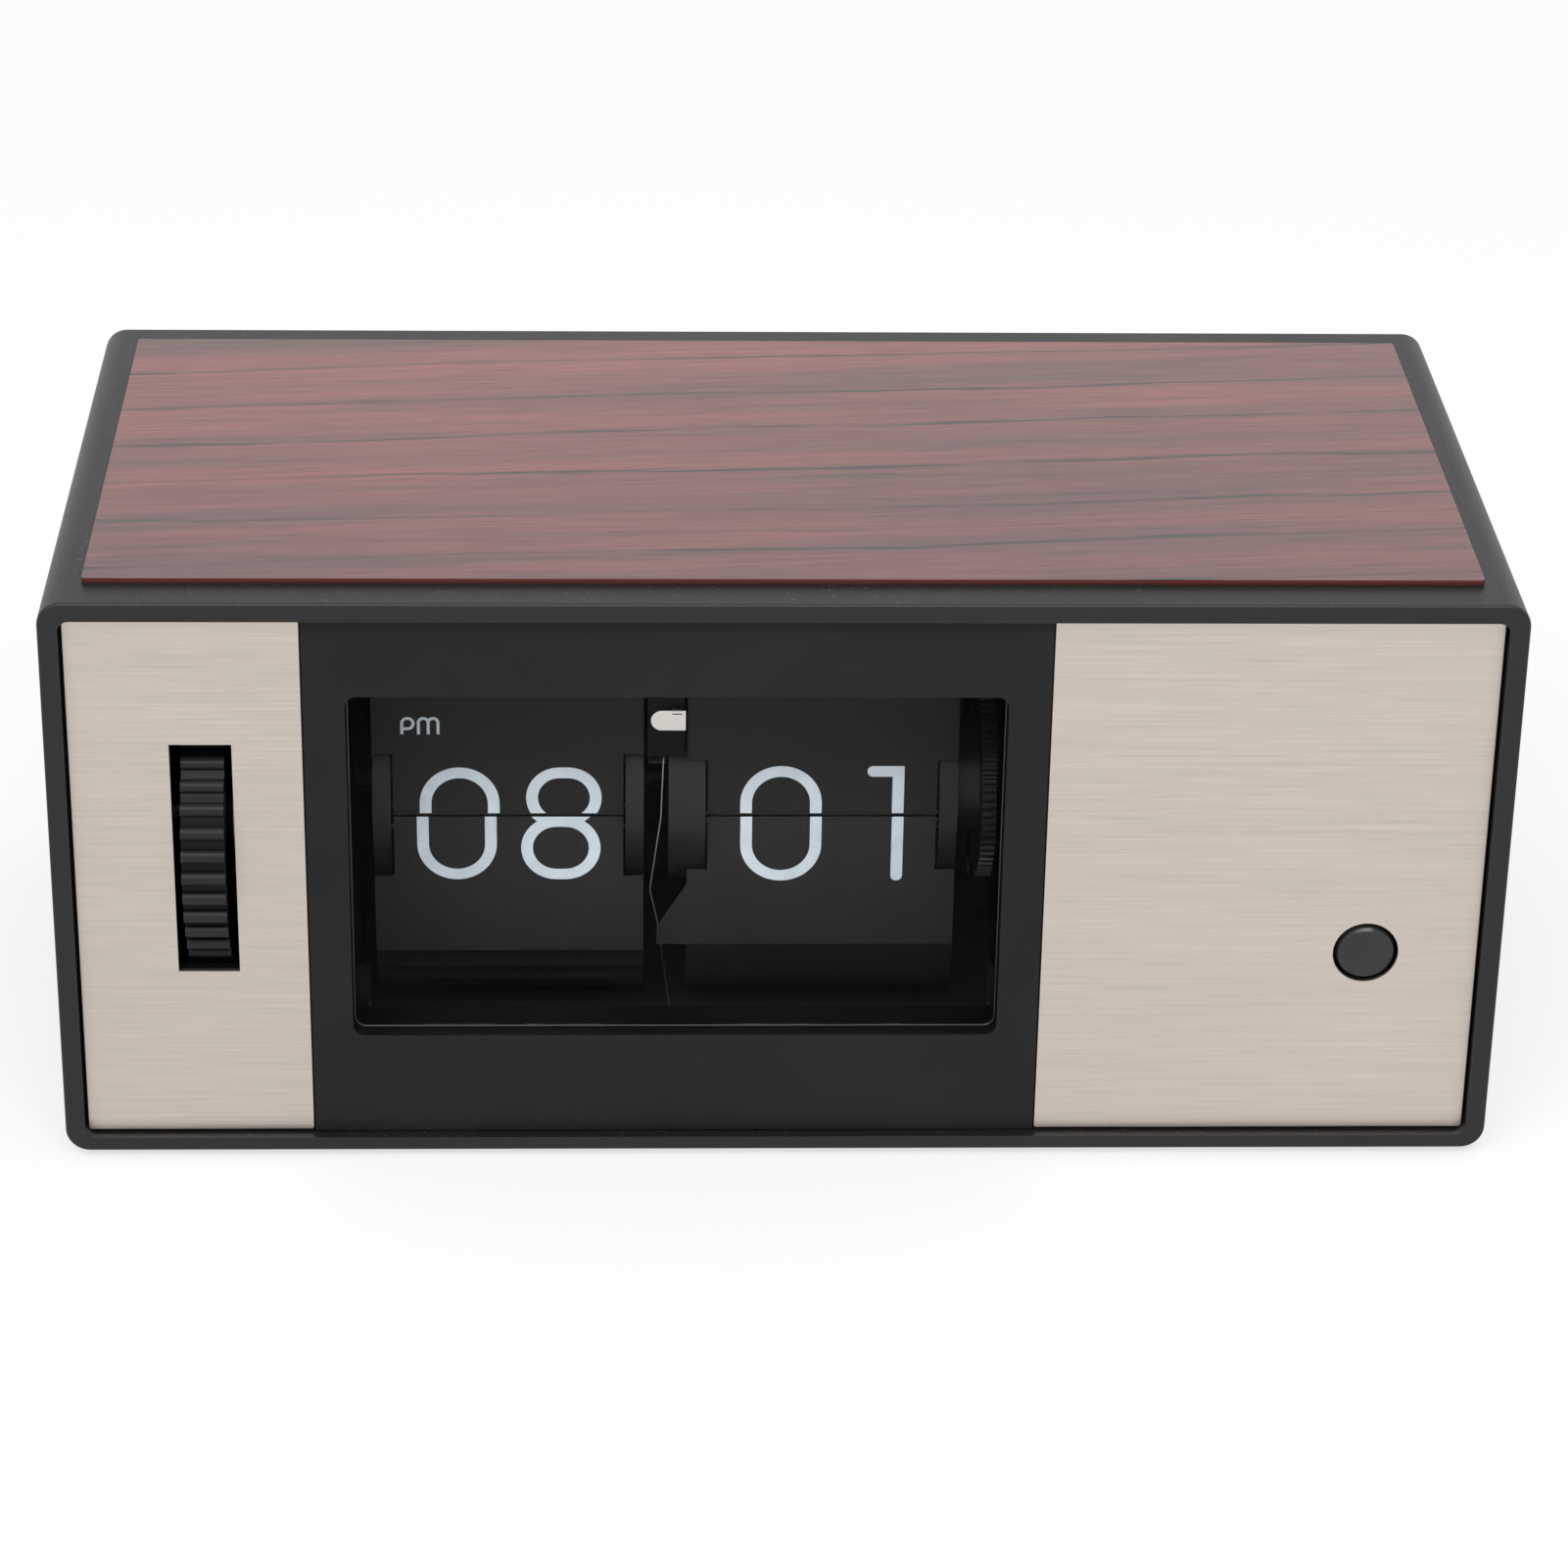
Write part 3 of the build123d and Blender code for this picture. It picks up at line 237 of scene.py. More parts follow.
class Effects:
    """Node groups that several finishes share, each built once."""

    tone_detail: float = 4.0
    fine_detail: float = 2.0
    line_detail: float = 5.0
    line_rough: float = 0.7
    rub_samples: int = 4
    rub_scale: float = 260.0
    rub_noise: Span = (0.35, 0.6)
    rub_least: float = 0.25
    rub_edge: Span = (0.01, 0.22)
    speck_scale: float = 2200.0
    speck_noise: Span = (0.68, 0.74)
    speck_slope: Span = (0.6, 0.95)
    slow_scale: float = 0.09

    @staticmethod
    def group(name: str, inputs: Dict[str, float],
              outputs: Sequence[str]) -> Tuple[NodeSheet, Sockets, Sockets]:
        """Start a node group.

        Args:
            name: The group's name.
            inputs: Input names with their usual values.
            outputs: Output names.

        Returns:
            The group's nodes, the sockets that it is given and the sockets that it fills.
        """
        tree = bpy.data.node_groups.new(name, "ShaderNodeTree")
        for key, value in inputs.items():
            socket = tree.interface.new_socket(key, in_out="INPUT", socket_type="NodeSocketFloat")
            socket.default_value = value
        for key in outputs:
            tree.interface.new_socket(key, in_out="OUTPUT", socket_type="NodeSocketFloat")
        sheet = NodeSheet(tree)
        return sheet, sheet.add("NodeGroupInput").outputs, sheet.add("NodeGroupOutput").inputs

    @classmethod
    @lru_cache(maxsize=None)
    def mould_grain(cls) -> Tree:
        """Soft tone patches and a fine sparked texture, as on moulded plastic.

        Returns:
            The node group.
        """
        sheet, given, out = cls.group("mould_grain", {"Coarse": 60.0, "Fine": 2400.0}, ("Tone", "Height"))
        where = sheet.place()
        sheet.feed(out["Tone"], sheet.noise(where, given["Coarse"], cls.tone_detail))
        sheet.feed(out["Height"], sheet.noise(where, given["Fine"], cls.fine_detail))
        return sheet.tree

    @classmethod
    @lru_cache(maxsize=None)
    def drawn_lines(cls) -> Tree:
        """Fine lines along X with slow changes of tone, as on brushed metal and wood.

        Returns:
            The node group.
        """
        usual = {"Along": 40.0, "Across": 3000.0, "Turn": 0.0}
        sheet, given, out = cls.group("drawn_lines", usual, ("Lines", "Bands"))
        turn = {"Vector": sheet.place(), "Angle": given["Turn"]}
        turned = sheet.add("VectorRotate", turn, rotation_type="Z_AXIS")
        scale = sheet.add("CombineXYZ", {"X": given["Along"], "Y": given["Across"], "Z": given["Across"]})
        stretched = sheet.add("VectorMath", {0: turned.outputs[0], 1: scale.outputs[0]}, operation="MULTIPLY")
        where = stretched.outputs[0]
        sheet.feed(out["Lines"], sheet.noise(where, 1.0, cls.line_detail, cls.line_rough))
        sheet.feed(out["Bands"], sheet.noise(where, cls.slow_scale, cls.fine_detail))
        return sheet.tree

    @classmethod
    @lru_cache(maxsize=None)
    def edge_rub(cls) -> Tree:
        """Mask of the edges that hands and cloths rub, broken up by noise.

        Returns:
            The node group.
        """
        sheet, given, out = cls.group("edge_rub", {"Radius": 0.0005}, ("Mask",))
        soft = sheet.add("Bevel", {"Radius": given["Radius"]}, samples=cls.rub_samples).outputs["Normal"]
        flat = sheet.add("NewGeometry").outputs["Normal"]
        away = sheet.maths("SUBTRACT", 1.0, sheet.measure("DOT_PRODUCT", soft, flat))
        noise = sheet.noise(sheet.place(), cls.rub_scale, cls.tone_detail)
        broken = sheet.spread(noise, cls.rub_least, 1.0, *cls.rub_noise)
        sheet.feed(out["Mask"], sheet.maths("MULTIPLY", sheet.spread(away, 0.0, 1.0, *cls.rub_edge), broken))
        return sheet.tree

    @classmethod
    @lru_cache(maxsize=None)
    def settled_dust(cls) -> Tree:
        """Mask of faint dust on faces that look up.

        Returns:
            The node group.
        """
        sheet, given, out = cls.group("settled_dust", {"Amount": 0.1}, ("Mask",))
        up = sheet.axis("Z", sheet.add("NewGeometry").outputs["Normal"])
        noise = sheet.noise(sheet.place(), cls.speck_scale, cls.fine_detail)
        specks = sheet.spread(noise, 0.0, 1.0, *cls.speck_noise)
        level = sheet.maths("MULTIPLY", sheet.spread(up, 0.0, 1.0, *cls.speck_slope), given["Amount"])
        sheet.feed(out["Mask"], sheet.maths("MULTIPLY", specks, level))
        return sheet.tree


# Finishes


class Finish(Protocol):
    """Anything that makes a material."""

    name: str

    def material(self) -> bpy.types.Material:
        """Make the material."""


@dataclass(frozen=True)
class MouldedPlastic:
    """Moulded plastic with a sparked texture, rubbed edges and a little dust."""

    name: str
    colour: Colour
    rough: float = 0.45
    gloss: float = 0.5
    coarse: float = 60.0
    fine: float = 2400.0
    mottle: float = 0.15
    bump: float = 0.1
    rub: float = 0.0
    dust: float = 0.0
    rough_change: float = 0.02
    rub_radius: float = 0.0004
    rub_tone: float = 3.0
    dust_colour: Colour = (0.3, 0.29, 0.27)
    grain_depth: float = 0.00005

    def shaded(self, sheet: NodeSheet, colour: Socket) -> Socket:
        """The colour with any painted shade that goes with the piece's shape, here none."""
        return colour

    def material(self) -> bpy.types.Material:
        """Make the plastic's material.

        Returns:
            The material.
        """
        sheet = MaterialSheet(self.name, {"Specular IOR Level": self.gloss, "Metallic": 0.0})
        grain = sheet.use(Effects.mould_grain(), Coarse=self.coarse, Fine=self.fine)
        tone = sheet.spread(grain["Tone"], 0.0, 1.0)
        colour = sheet.toned(tone, self.colour, 1 - self.mottle, 1 + self.mottle)
        rough = sheet.spread(grain["Tone"], self.rough - self.rough_change, self.rough + self.rough_change)
        if self.rub > 0:
            edges = sheet.use(Effects.edge_rub(), Radius=self.rub_radius)["Mask"]
            worn = sheet.maths("MULTIPLY", edges, self.rub)
            colour = sheet.blend(worn, colour, scaled(self.colour, self.rub_tone))
        # Painted shade, where the kind of plastic has it.
        colour = self.shaded(sheet, colour)
        if self.dust > 0:
            dusty = sheet.use(Effects.settled_dust(), Amount=self.dust)["Mask"]
            colour = sheet.blend(dusty, colour, self.dust_colour)
        sheet.surface(colour, rough)
        sheet.relief(grain["Height"], self.bump, self.grain_depth)
        return sheet.material


@dataclass(frozen=True)
class DeepPlastic(MouldedPlastic):
    """Moulded plastic round a deep opening, with painted shade inside it."""

    # Painted shade: from the front of the opening back, the colour darkens to deep_shade times itself.
    deep: Span = (-0.0434, -0.0424)
    deep_shade: float = 0.3

    def shaded(self, sheet: NodeSheet, colour: Socket) -> Socket:
        """The colour with painted shade, darker towards the back of the opening."""
        inside = sheet.spread(sheet.axis("Y", sheet.place()), 0.0, 1.0, *self.deep)
        return sheet.blend(inside, colour, scaled(self.colour, self.deep_shade))


@dataclass(frozen=True)
class RibbedPlastic(MouldedPlastic):
    """Moulded plastic of a ribbed wheel that turns about X, with painted shade down in its grooves."""

    axis: Span = (-0.0277, 0.0406)
    groove: Span = (0.0185, 0.019)
    groove_shade: float = 0.12

    def shaded(self, sheet: NodeSheet, colour: Socket) -> Socket:
        """Paint shade into the grooves.

        Args:
            sheet: The material's nodes.
            colour: The colour of the crests.

        Returns:
            The colour of the crests and of the grooves, which carry painted shade.
        """
        radius = sheet.measure("DISTANCE", sheet.place((0.0, 1.0, 1.0)), (0.0, *self.axis))
        return sheet.blend(sheet.spread(radius, 0.0, 1.0, *self.groove),
                           scaled(self.colour, self.groove_shade), colour)


@dataclass(frozen=True)
class LeafSheet(MouldedPlastic):
    """Thin matt sheet of the leaves, finer and more even than the case's plastic."""

    rough: float = 0.55
    gloss: float = 0.2
    coarse: float = 120.0
    fine: float = 3200.0
    mottle: float = 0.06
    bump: float = 0.05


@dataclass(frozen=True)
class BrushedMetal:
    """Metal with fine lines drawn along X."""

    name: str
    colour: Colour
    rough: float = 0.35
    along: float = 40.0
    across: float = 3000.0
    depth: float = 0.1
    bands: float = 0.05
    bump: float = 0.1
    tones: Span = (0.7, 1.3)
    rough_change: float = 0.06
    line_depth: float = 0.00003

    def material(self) -> bpy.types.Material:
        """Make the metal's material.

        Returns:
            The material.
        """
        sheet = MaterialSheet(self.name, {"Metallic": 1.0})
        drawn = sheet.use(Effects.drawn_lines(), Along=self.along, Across=self.across)
        line = sheet.spread(drawn["Lines"], 1 - self.depth, 1 + self.depth)
        slow = sheet.spread(drawn["Bands"], 1 - self.bands, 1 + self.bands)
        share = sheet.spread(sheet.maths("MULTIPLY", line, slow), 0.0, 1.0, *self.tones)
        rough = sheet.spread(drawn["Lines"], self.rough - self.rough_change, self.rough + self.rough_change)
        sheet.surface(sheet.toned(share, self.colour, *self.tones), rough)
        sheet.relief(drawn["Lines"], self.bump, self.line_depth)
        return sheet.material


@dataclass(frozen=True)
class RoseWood:
    """Rosewood-grain sheet under a satin lacquer, with long dark veins a little off the X axis."""

    name: str
    red: Colour = (0.235, 0.07, 0.061)
    brown: Colour = (0.1, 0.043, 0.043)
    streak: Colour = (0.03, 0.018, 0.018)
    vein: Colour = (0.008, 0.01, 0.01)
    edge: Colour = (0.14, 0.024, 0.018)
    # Painted shade: the panel's edge darkens to this colour at its bottom.
    edge_painted_shade: Colour = (0.012, 0.006, 0.005)
    panel_low: float = 0.077
    panel_top: float = 0.0777
    grain_turn: float = math.radians(-4.2)
    fibre_scale: Span = (70.0, 2200.0)
    streak_scale: Span = (16.0, 520.0)
    band_scale: Span = (3.0, 52.0)
    fibre_noise: Span = (0.5, 0.72)
    fibre_share: float = 0.7
    streak_noise: Span = (0.52, 0.75)
    streak_share: float = 0.6
    band_noise: Span = (0.4, 0.6)
    front_zone: Span = (-0.036, -0.012)
    front_brown: float = -0.07
    vein_pitch: float = 0.0126
    vein_width: Span = (0.00005, 0.0005)
    sway_scale: Triple = (8.0, 30.0, 1.0)
    sway_detail: float = 3.0
    sway: float = 0.009
    feather_scale: Triple = (60.0, 1800.0, 1.0)
    feather_detail: float = 4.0
    feather: float = 0.0004
    gap_scale: Triple = (10.0, 70.0, 1.0)
    gap_detail: float = 2.0
    gap_least: float = 0.4
    gap_noise: Span = (0.36, 0.52)
    rough: Span = (0.3, 0.42)
    gloss: float = 0.45
    coat: float = 0.3
    coat_rough: float = 0.25
    bump: float = 0.06
    grain_depth: float = 0.00005

    def noise(self, sheet: NodeSheet, scale: Triple, detail: float) -> Socket:
        """A noise mask that is stretched along the grain."""
        return sheet.noise(sheet.place(scale, self.grain_turn), 1.0, detail)

    def veins(self, sheet: NodeSheet) -> Socket:
        """Mask of thin dark veins, uneven in width and broken along their length.

        Args:
            sheet: The material's nodes.

        Returns:
            The mask's socket.
        """
        across = sheet.axis("Y", sheet.place(turn=self.grain_turn))
        sway = self.noise(sheet, self.sway_scale, self.sway_detail)
        shifted = sheet.maths("ADD", across, sheet.maths("MULTIPLY", sway, self.sway))
        line = sheet.maths("PINGPONG", shifted, self.vein_pitch / 2)
        feather = self.noise(sheet, self.feather_scale, self.feather_detail)
        ragged = sheet.maths("ADD", line, sheet.spread(feather, -self.feather, self.feather))
        gaps = self.noise(sheet, self.gap_scale, self.gap_detail)
        return sheet.maths("MULTIPLY", sheet.spread(ragged, 1.0, 0.0, *self.vein_width),
                           sheet.spread(gaps, self.gap_least, 1.0, *self.gap_noise))

    def lines(self, sheet: MaterialSheet, scale: Span) -> Socket:
        """Mask of lines along the grain, at a scale along and across it."""
        along, across = scale
        return sheet.use(Effects.drawn_lines(), Along=along, Across=across, Turn=self.grain_turn)["Lines"]

    def material(self) -> bpy.types.Material:
        """Make the wood's material.

        Returns:
            The material.
        """
        lacquer = {"Coat Weight": self.coat, "Coat Roughness": self.coat_rough}
        sheet = MaterialSheet(self.name, {"Metallic": 0.0, "Specular IOR Level": self.gloss, **lacquer})
        scales = (self.fibre_scale, self.streak_scale, self.band_scale)
        fibre, streaks, bands = (self.lines(sheet, scale) for scale in scales)
        depth, height = (sheet.axis(name, sheet.place()) for name in "YZ")
        zone = sheet.maths("ADD", bands, sheet.spread(depth, self.front_brown, 0.0, *self.front_zone))
        body = sheet.blend(sheet.spread(zone, 0.0, 1.0, *self.band_noise), self.brown, self.red)
        for mask, share, noise in ((streaks, self.streak_share, self.streak_noise),
                                   (fibre, self.fibre_share, self.fibre_noise)):
            body = sheet.blend(sheet.spread(mask, 0.0, share, *noise), body, self.streak)
        body = sheet.blend(self.veins(sheet), body, self.vein)
        # The panel's edge runs from its own colour at the top to painted shade at the bottom.
        high = sheet.spread(height, 0.0, 1.0, self.panel_low, self.panel_top)
        edge = sheet.blend(high, self.edge_painted_shade, self.edge)
        body = sheet.blend(sheet.maths("LESS_THAN", height, self.panel_top), body, edge)
        sheet.surface(body, sheet.spread(fibre, *self.rough))
        sheet.relief(fibre, self.bump, self.grain_depth)
        return sheet.material


@dataclass(frozen=True)
class ClearSheet:
    """Clear window sheet with faint smears."""

    name: str
    alpha: float = 0.03
    colour: Colour = (0.02, 0.02, 0.02)
    gloss: float = 0.5
    rough: Span = (0.03, 0.14)
    coarse: float = 45.0
    fine: float = 900.0

    def material(self) -> bpy.types.Material:
        """Make the clear sheet's material.

        Returns:
            The material.
        """
        clear = {"Alpha": self.alpha, "Base Color": self.colour}
        sheet = MaterialSheet(self.name, {"Metallic": 0.0, "Specular IOR Level": self.gloss, **clear})
        smears = sheet.use(Effects.mould_grain(), Coarse=self.coarse, Fine=self.fine)["Tone"]
        sheet.feed(sheet.shader.inputs["Roughness"], sheet.spread(smears, *self.rough))
        return sheet.material


@dataclass(frozen=True)
class PrintInk:
    """Pale screen-printed ink with a slightly uneven cover."""

    name: str
    colour: Colour = (0.79, 0.89, 0.965)
    cover: Span = (0.9, 1.06)
    gloss: float = 0.3
    rough: Span = (0.5, 0.62)
    coarse: float = 320.0
    fine: float = 3000.0

    def material(self) -> bpy.types.Material:
        """Make the ink's material.

        Returns:
            The material.
        """
        sheet = MaterialSheet(self.name, {"Metallic": 0.0, "Specular IOR Level": self.gloss})
        tone = sheet.use(Effects.mould_grain(), Coarse=self.coarse, Fine=self.fine)["Tone"]
        colour = sheet.toned(sheet.spread(tone, 0.0, 1.0), self.colour, *self.cover)
        sheet.surface(colour, sheet.spread(tone, *self.rough))
        return sheet.material


CONTACT_BRASS = BrushedMetal("contact_brass", (0.68, 0.55, 0.3), rough=0.3, along=100.0, across=1500.0,
                             depth=0.06)


# Modelling by operators


def clear_selection() -> None:
    """Deselect every object."""
    bpy.ops.object.select_all(action="DESELECT")


def make_active(piece: Piece) -> None:
    """Select one object alone and make it active.

    Args:
        piece: The object.
    """
    clear_selection()
    piece.select_set(True)
    bpy.context.view_layer.objects.active = piece


def named(piece: Piece, name: str) -> Piece:
    """Give a piece and its mesh a name."""
    piece.name = piece.data.name = name
    return piece


def apply_place(piece: Piece) -> None:
    """Move a piece's place, turn and scale into its mesh."""
    make_active(piece)
    bpy.ops.object.transform_apply(location=True, rotation=True, scale=True)


def apply_modifier(piece: Piece, kind: str, **settings: object) -> None:
    """Add a modifier and apply it.

    Args:
        piece: The mesh object.
        kind: Blender's modifier type.
        settings: The modifier's properties.
    """
    make_active(piece)
    modifier = piece.modifiers.new(kind.lower(), kind)
    for key, value in settings.items():
        setattr(modifier, key, value)
    bpy.ops.object.modifier_apply(modifier=modifier.name)


def pick(piece: Piece, test: Callable[[Vector], bool]) -> None:
    """Select vertices by their place, with the edges and faces between them, and enter edit mode.

    Args:
        piece: The mesh object.
        test: True for the vertices to select.
    """
    make_active(piece)
    bpy.ops.object.mode_set(mode="EDIT")
    bpy.ops.mesh.select_mode(type="VERT")
    bpy.ops.mesh.select_all(action="DESELECT")
    bpy.ops.object.mode_set(mode="OBJECT")
    vertices = piece.data.vertices
    for vertex in vertices:
        vertex.select = test(vertex.co)
    for part in list(piece.data.edges) + list(piece.data.polygons):
        part.select = all(vertices[i].select for i in part.vertices)
    bpy.ops.object.mode_set(mode="EDIT")


def extrude(step: Sequence[float]) -> None:
    """Extrude what is selected by a step in metres."""
    bpy.ops.mesh.extrude_region_move(TRANSFORM_OT_translate={"value": step})


def leave_edit() -> None:
    """Go back to object mode."""
    bpy.ops.object.mode_set(mode="OBJECT")


def leave_facing_out() -> None:
    """Turn all faces outwards and go back to object mode."""
    bpy.ops.mesh.select_all(action="SELECT")
    bpy.ops.mesh.normals_make_consistent(inside=False)
    leave_edit()


def block(name: str, size: Sequence[float], middle: Sequence[float], turn: float = 0.0) -> Piece:
    """Add a block to shape further.

    Args:
        name: The piece's name.
        size: Its size along each axis, in metres.
        middle: Its middle, in metres.
        turn: Its turn about Y, in radians.

    Returns:
        The block.
    """
    clear_selection()
    bpy.ops.mesh.primitive_cube_add(size=1.0)
    piece = named(bpy.context.object, name)
    piece.scale, piece.rotation_euler, piece.location = size, (0.0, turn, 0.0), middle
    apply_place(piece)
    return piece


def round_bar(name: str, radius: float, ends: Span, middle: Span, sides: int) -> Piece:
    """Add a round bar along Y to shape further.

    Args:
        name: The piece's name.
        radius: Its radius, in metres.
        ends: Y of its front and back, in metres.
        middle: X and Z of its middle line, in metres.
        sides: How many sides the circle has.

    Returns:
        The bar.
    """
    clear_selection()
    bpy.ops.mesh.primitive_cylinder_add(vertices=sides, radius=radius, depth=ends[1] - ends[0],
                                        location=(middle[0], sum(ends) / 2, middle[1]),
                                        rotation=(math.pi / 2, 0.0, 0.0))
    piece = named(bpy.context.object, name)
    apply_place(piece)
    return piece


def copy_of(piece: Piece, name: str) -> Piece:
    """Copy a piece with a mesh of its own.

    Args:
        piece: The piece to copy.
        name: Name of the copy.

    Returns:
        The copy.
    """
    make_active(piece)
    bpy.ops.object.duplicate(linked=False)
    return named(bpy.context.object, name)


def joined(pieces: Sequence[Piece], name: str) -> Piece:
    """Join pieces into one object.

    Args:
        pieces: The pieces; the first one stays.
        name: Name of the result.

    Returns:
        The joined object.
    """
    make_active(pieces[0])
    for piece in pieces[1:]:
        piece.select_set(True)
    bpy.ops.object.join()
    return named(bpy.context.object, name)


def merged(piece: Piece, other: Piece, merge: Merge = Merge.ADD) -> Piece:
    """Add another solid to a piece, or cut it out.

    Args:
        piece: The piece that stays.
        other: The other solid, which goes.
        merge: How it acts.

    Returns:
        The piece.
    """
    apply_modifier(piece, "BOOLEAN", object=other, operation=merge.value, solver="EXACT")
    bpy.data.objects.remove(other)
    return piece


class Dresser:
    """Makes each finish once and puts it on pieces."""

    def __init__(self) -> None:
        """Start with no material made."""
        self.made: Dict[str, bpy.types.Material] = {}

    def dress(self, piece: Piece, finish: Finish) -> None:
        """Give a piece its finish.

        Args:
            piece: A mesh object.
            finish: What it is made of.
        """
        if finish.name not in self.made:
            self.made[finish.name] = finish.material()
        piece.data.materials.clear()
        piece.data.materials.append(self.made[finish.name])


@dataclass
class SubAssembly:
    """A part of the clock that dresses its CAD nodes and adds modelled pieces."""

    dresser: Dresser

    def nodes(self, finish: Finish, *names: str) -> None:
        """Dress CAD nodes.

        Args:
            finish: What they are made of.
            names: Node names.
        """
        for name in names:
            self.dresser.dress(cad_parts[name], finish)
            LOG.info("dressed %s in %s", name, finish.name)

    def keep(self, piece: Piece, finish: Finish, body: Body, slot: str) -> None:
        """Dress a finished piece and let it ride on a body.

        Args:
            piece: The finished piece, with its place in its mesh.
            finish: What it is made of.
            body: The body that it moves with.
            slot: The record's material slot, which is not used.
        """
        self.dresser.dress(piece, finish)
        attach(piece, body.value)
        LOG.info("built %s on %s, %d faces", piece.name, body.value, len(piece.data.polygons))


# Printed numbers


class StrokePen:
    """Draws an even stroke in the XZ plane by extruding and spinning its leading edge."""

    degrees_per_step: float = 7.5
    least_steps: int = 4
    end_share: float = 0.495
    end_reach: float = 0.55
    end_segments: int = 6
    join_gap: float = 3e-6

    def __init__(self, name: str, stroke: float, thickness: float) -> None:
        """Prepare a pen.

        Args:
            name: Name of the drawn object.
            stroke: Width of the stroke in millimetres.
            thickness: Thickness of the ink in millimetres.
        """
        self.name = name
        self.stroke = stroke
        self.thickness = thickness
        self.heading = 0.0
        self.piece: Optional[Piece] = None
        self.start = self.start_along = self.at = Vector((0.0, 0.0, 0.0))

    def ahead(self) -> Vector:
        """Direction that the stroke runs in."""
        return Vector((math.cos(self.heading), 0.0, math.sin(self.heading)))

    def right(self) -> Vector:
        """Direction to the right of the stroke."""
        return Vector((math.sin(self.heading), 0.0, -math.cos(self.heading)))

    def begin(self, x: float, z: float, heading: float, length: float) -> "StrokePen":
        """Lay the first straight run.

        Args:
            x: Start in millimetres.
            z: Start in millimetres.
            heading: Direction in degrees from +X towards +Z.
            length: Length of the run in millimetres.

        Returns:
            The pen.
        """
        self.heading = math.radians(heading)
        along, side = self.ahead(), self.right()
        self.start, self.start_along = Vector((x, 0.0, z)) * MM, along
        width, step = self.stroke * MM, along * length * MM
        self.at = self.start + step
        middle = self.start + step / 2
        clear_selection()
        bpy.ops.mesh.primitive_plane_add(size=1.0)
        self.piece = named(bpy.context.object, self.name)
        columns = (side * width, step, side.cross(along), middle)
        self.piece.matrix_world = Matrix([[c[i] for c in columns] for i in range(3)] + [[0, 0, 0, 1]])
        apply_place(self.piece)
        pick(self.piece, lambda co: (co - middle).dot(along) > 0)
        return self

    def run(self, length: float) -> "StrokePen":
        """Carry the stroke straight on.

        Args:
            length: Length in millimetres.

        Returns:
            The pen.
        """
        step = self.ahead() * length * MM
        extrude(step)
        self.at = self.at + step
        return self

    def bend(self, degrees: float, radius: float) -> "StrokePen":
        """Carry the stroke round an arc.

        Args:
            degrees: Angle of the turn, positive to the left.
            radius: Radius of the stroke's middle in millimetres.

        Returns:
            The pen.
        """
        centre = self.at - self.right() * math.copysign(radius, degrees) * MM
        steps = max(self.least_steps, round(abs(degrees) / self.degrees_per_step))
        turn = math.radians(degrees)
        bpy.ops.mesh.spin(steps=steps, angle=turn, center=centre, axis=(0.0, 1.0, 0.0))
        self.heading += turn
        self.at = centre + Matrix.Rotation(-turn, 3, "Y") @ (self.at - centre)
        return self

    def corner(self) -> "StrokePen":
        """Turn to the right in a square corner.

        Returns:
            The pen.
        """
        right = self.right()
        start = self.at + (self.ahead() + right) * (self.stroke * MM / 2)
        self.run(self.stroke)
        self.pick_end(start, right)
        self.at = start
        self.heading -= math.pi / 2
        return self

    def pick_end(self, end: Vector, along: Vector) -> None:
        """Select the stroke's edge at an end.

        Args:
            end: The edge's middle.
            along: The stroke's direction there.
        """
        leave_edit()
        reach = self.stroke * MM * self.end_reach
        pick(self.piece, lambda co: abs((co - end).dot(along)) < HAIR and (co - end).length < reach)

    def round_end(self) -> "StrokePen":
        """Round the end that is selected, at first the leading one.

        Returns:
            The pen.
        """
        bpy.ops.mesh.bevel(offset=self.stroke * MM * self.end_share, segments=self.end_segments,
                           affect="VERTICES")
        return self

    def round_start(self) -> "StrokePen":
        """Round the end that the stroke started from."""
        self.pick_end(self.start, self.start_along)
        return self.round_end()

    def lift(self) -> Piece:
        """Close the drawing and give the ink its thickness.

        Returns:
            The drawn object.
        """
        bpy.ops.mesh.select_all(action="SELECT")
        bpy.ops.mesh.remove_doubles(threshold=self.join_gap)
        bpy.ops.mesh.dissolve_degenerate(threshold=HAIR)
        leave_edit()
        apply_modifier(self.piece, "SOLIDIFY", thickness=self.thickness * MM, offset=1.0)
        return self.piece


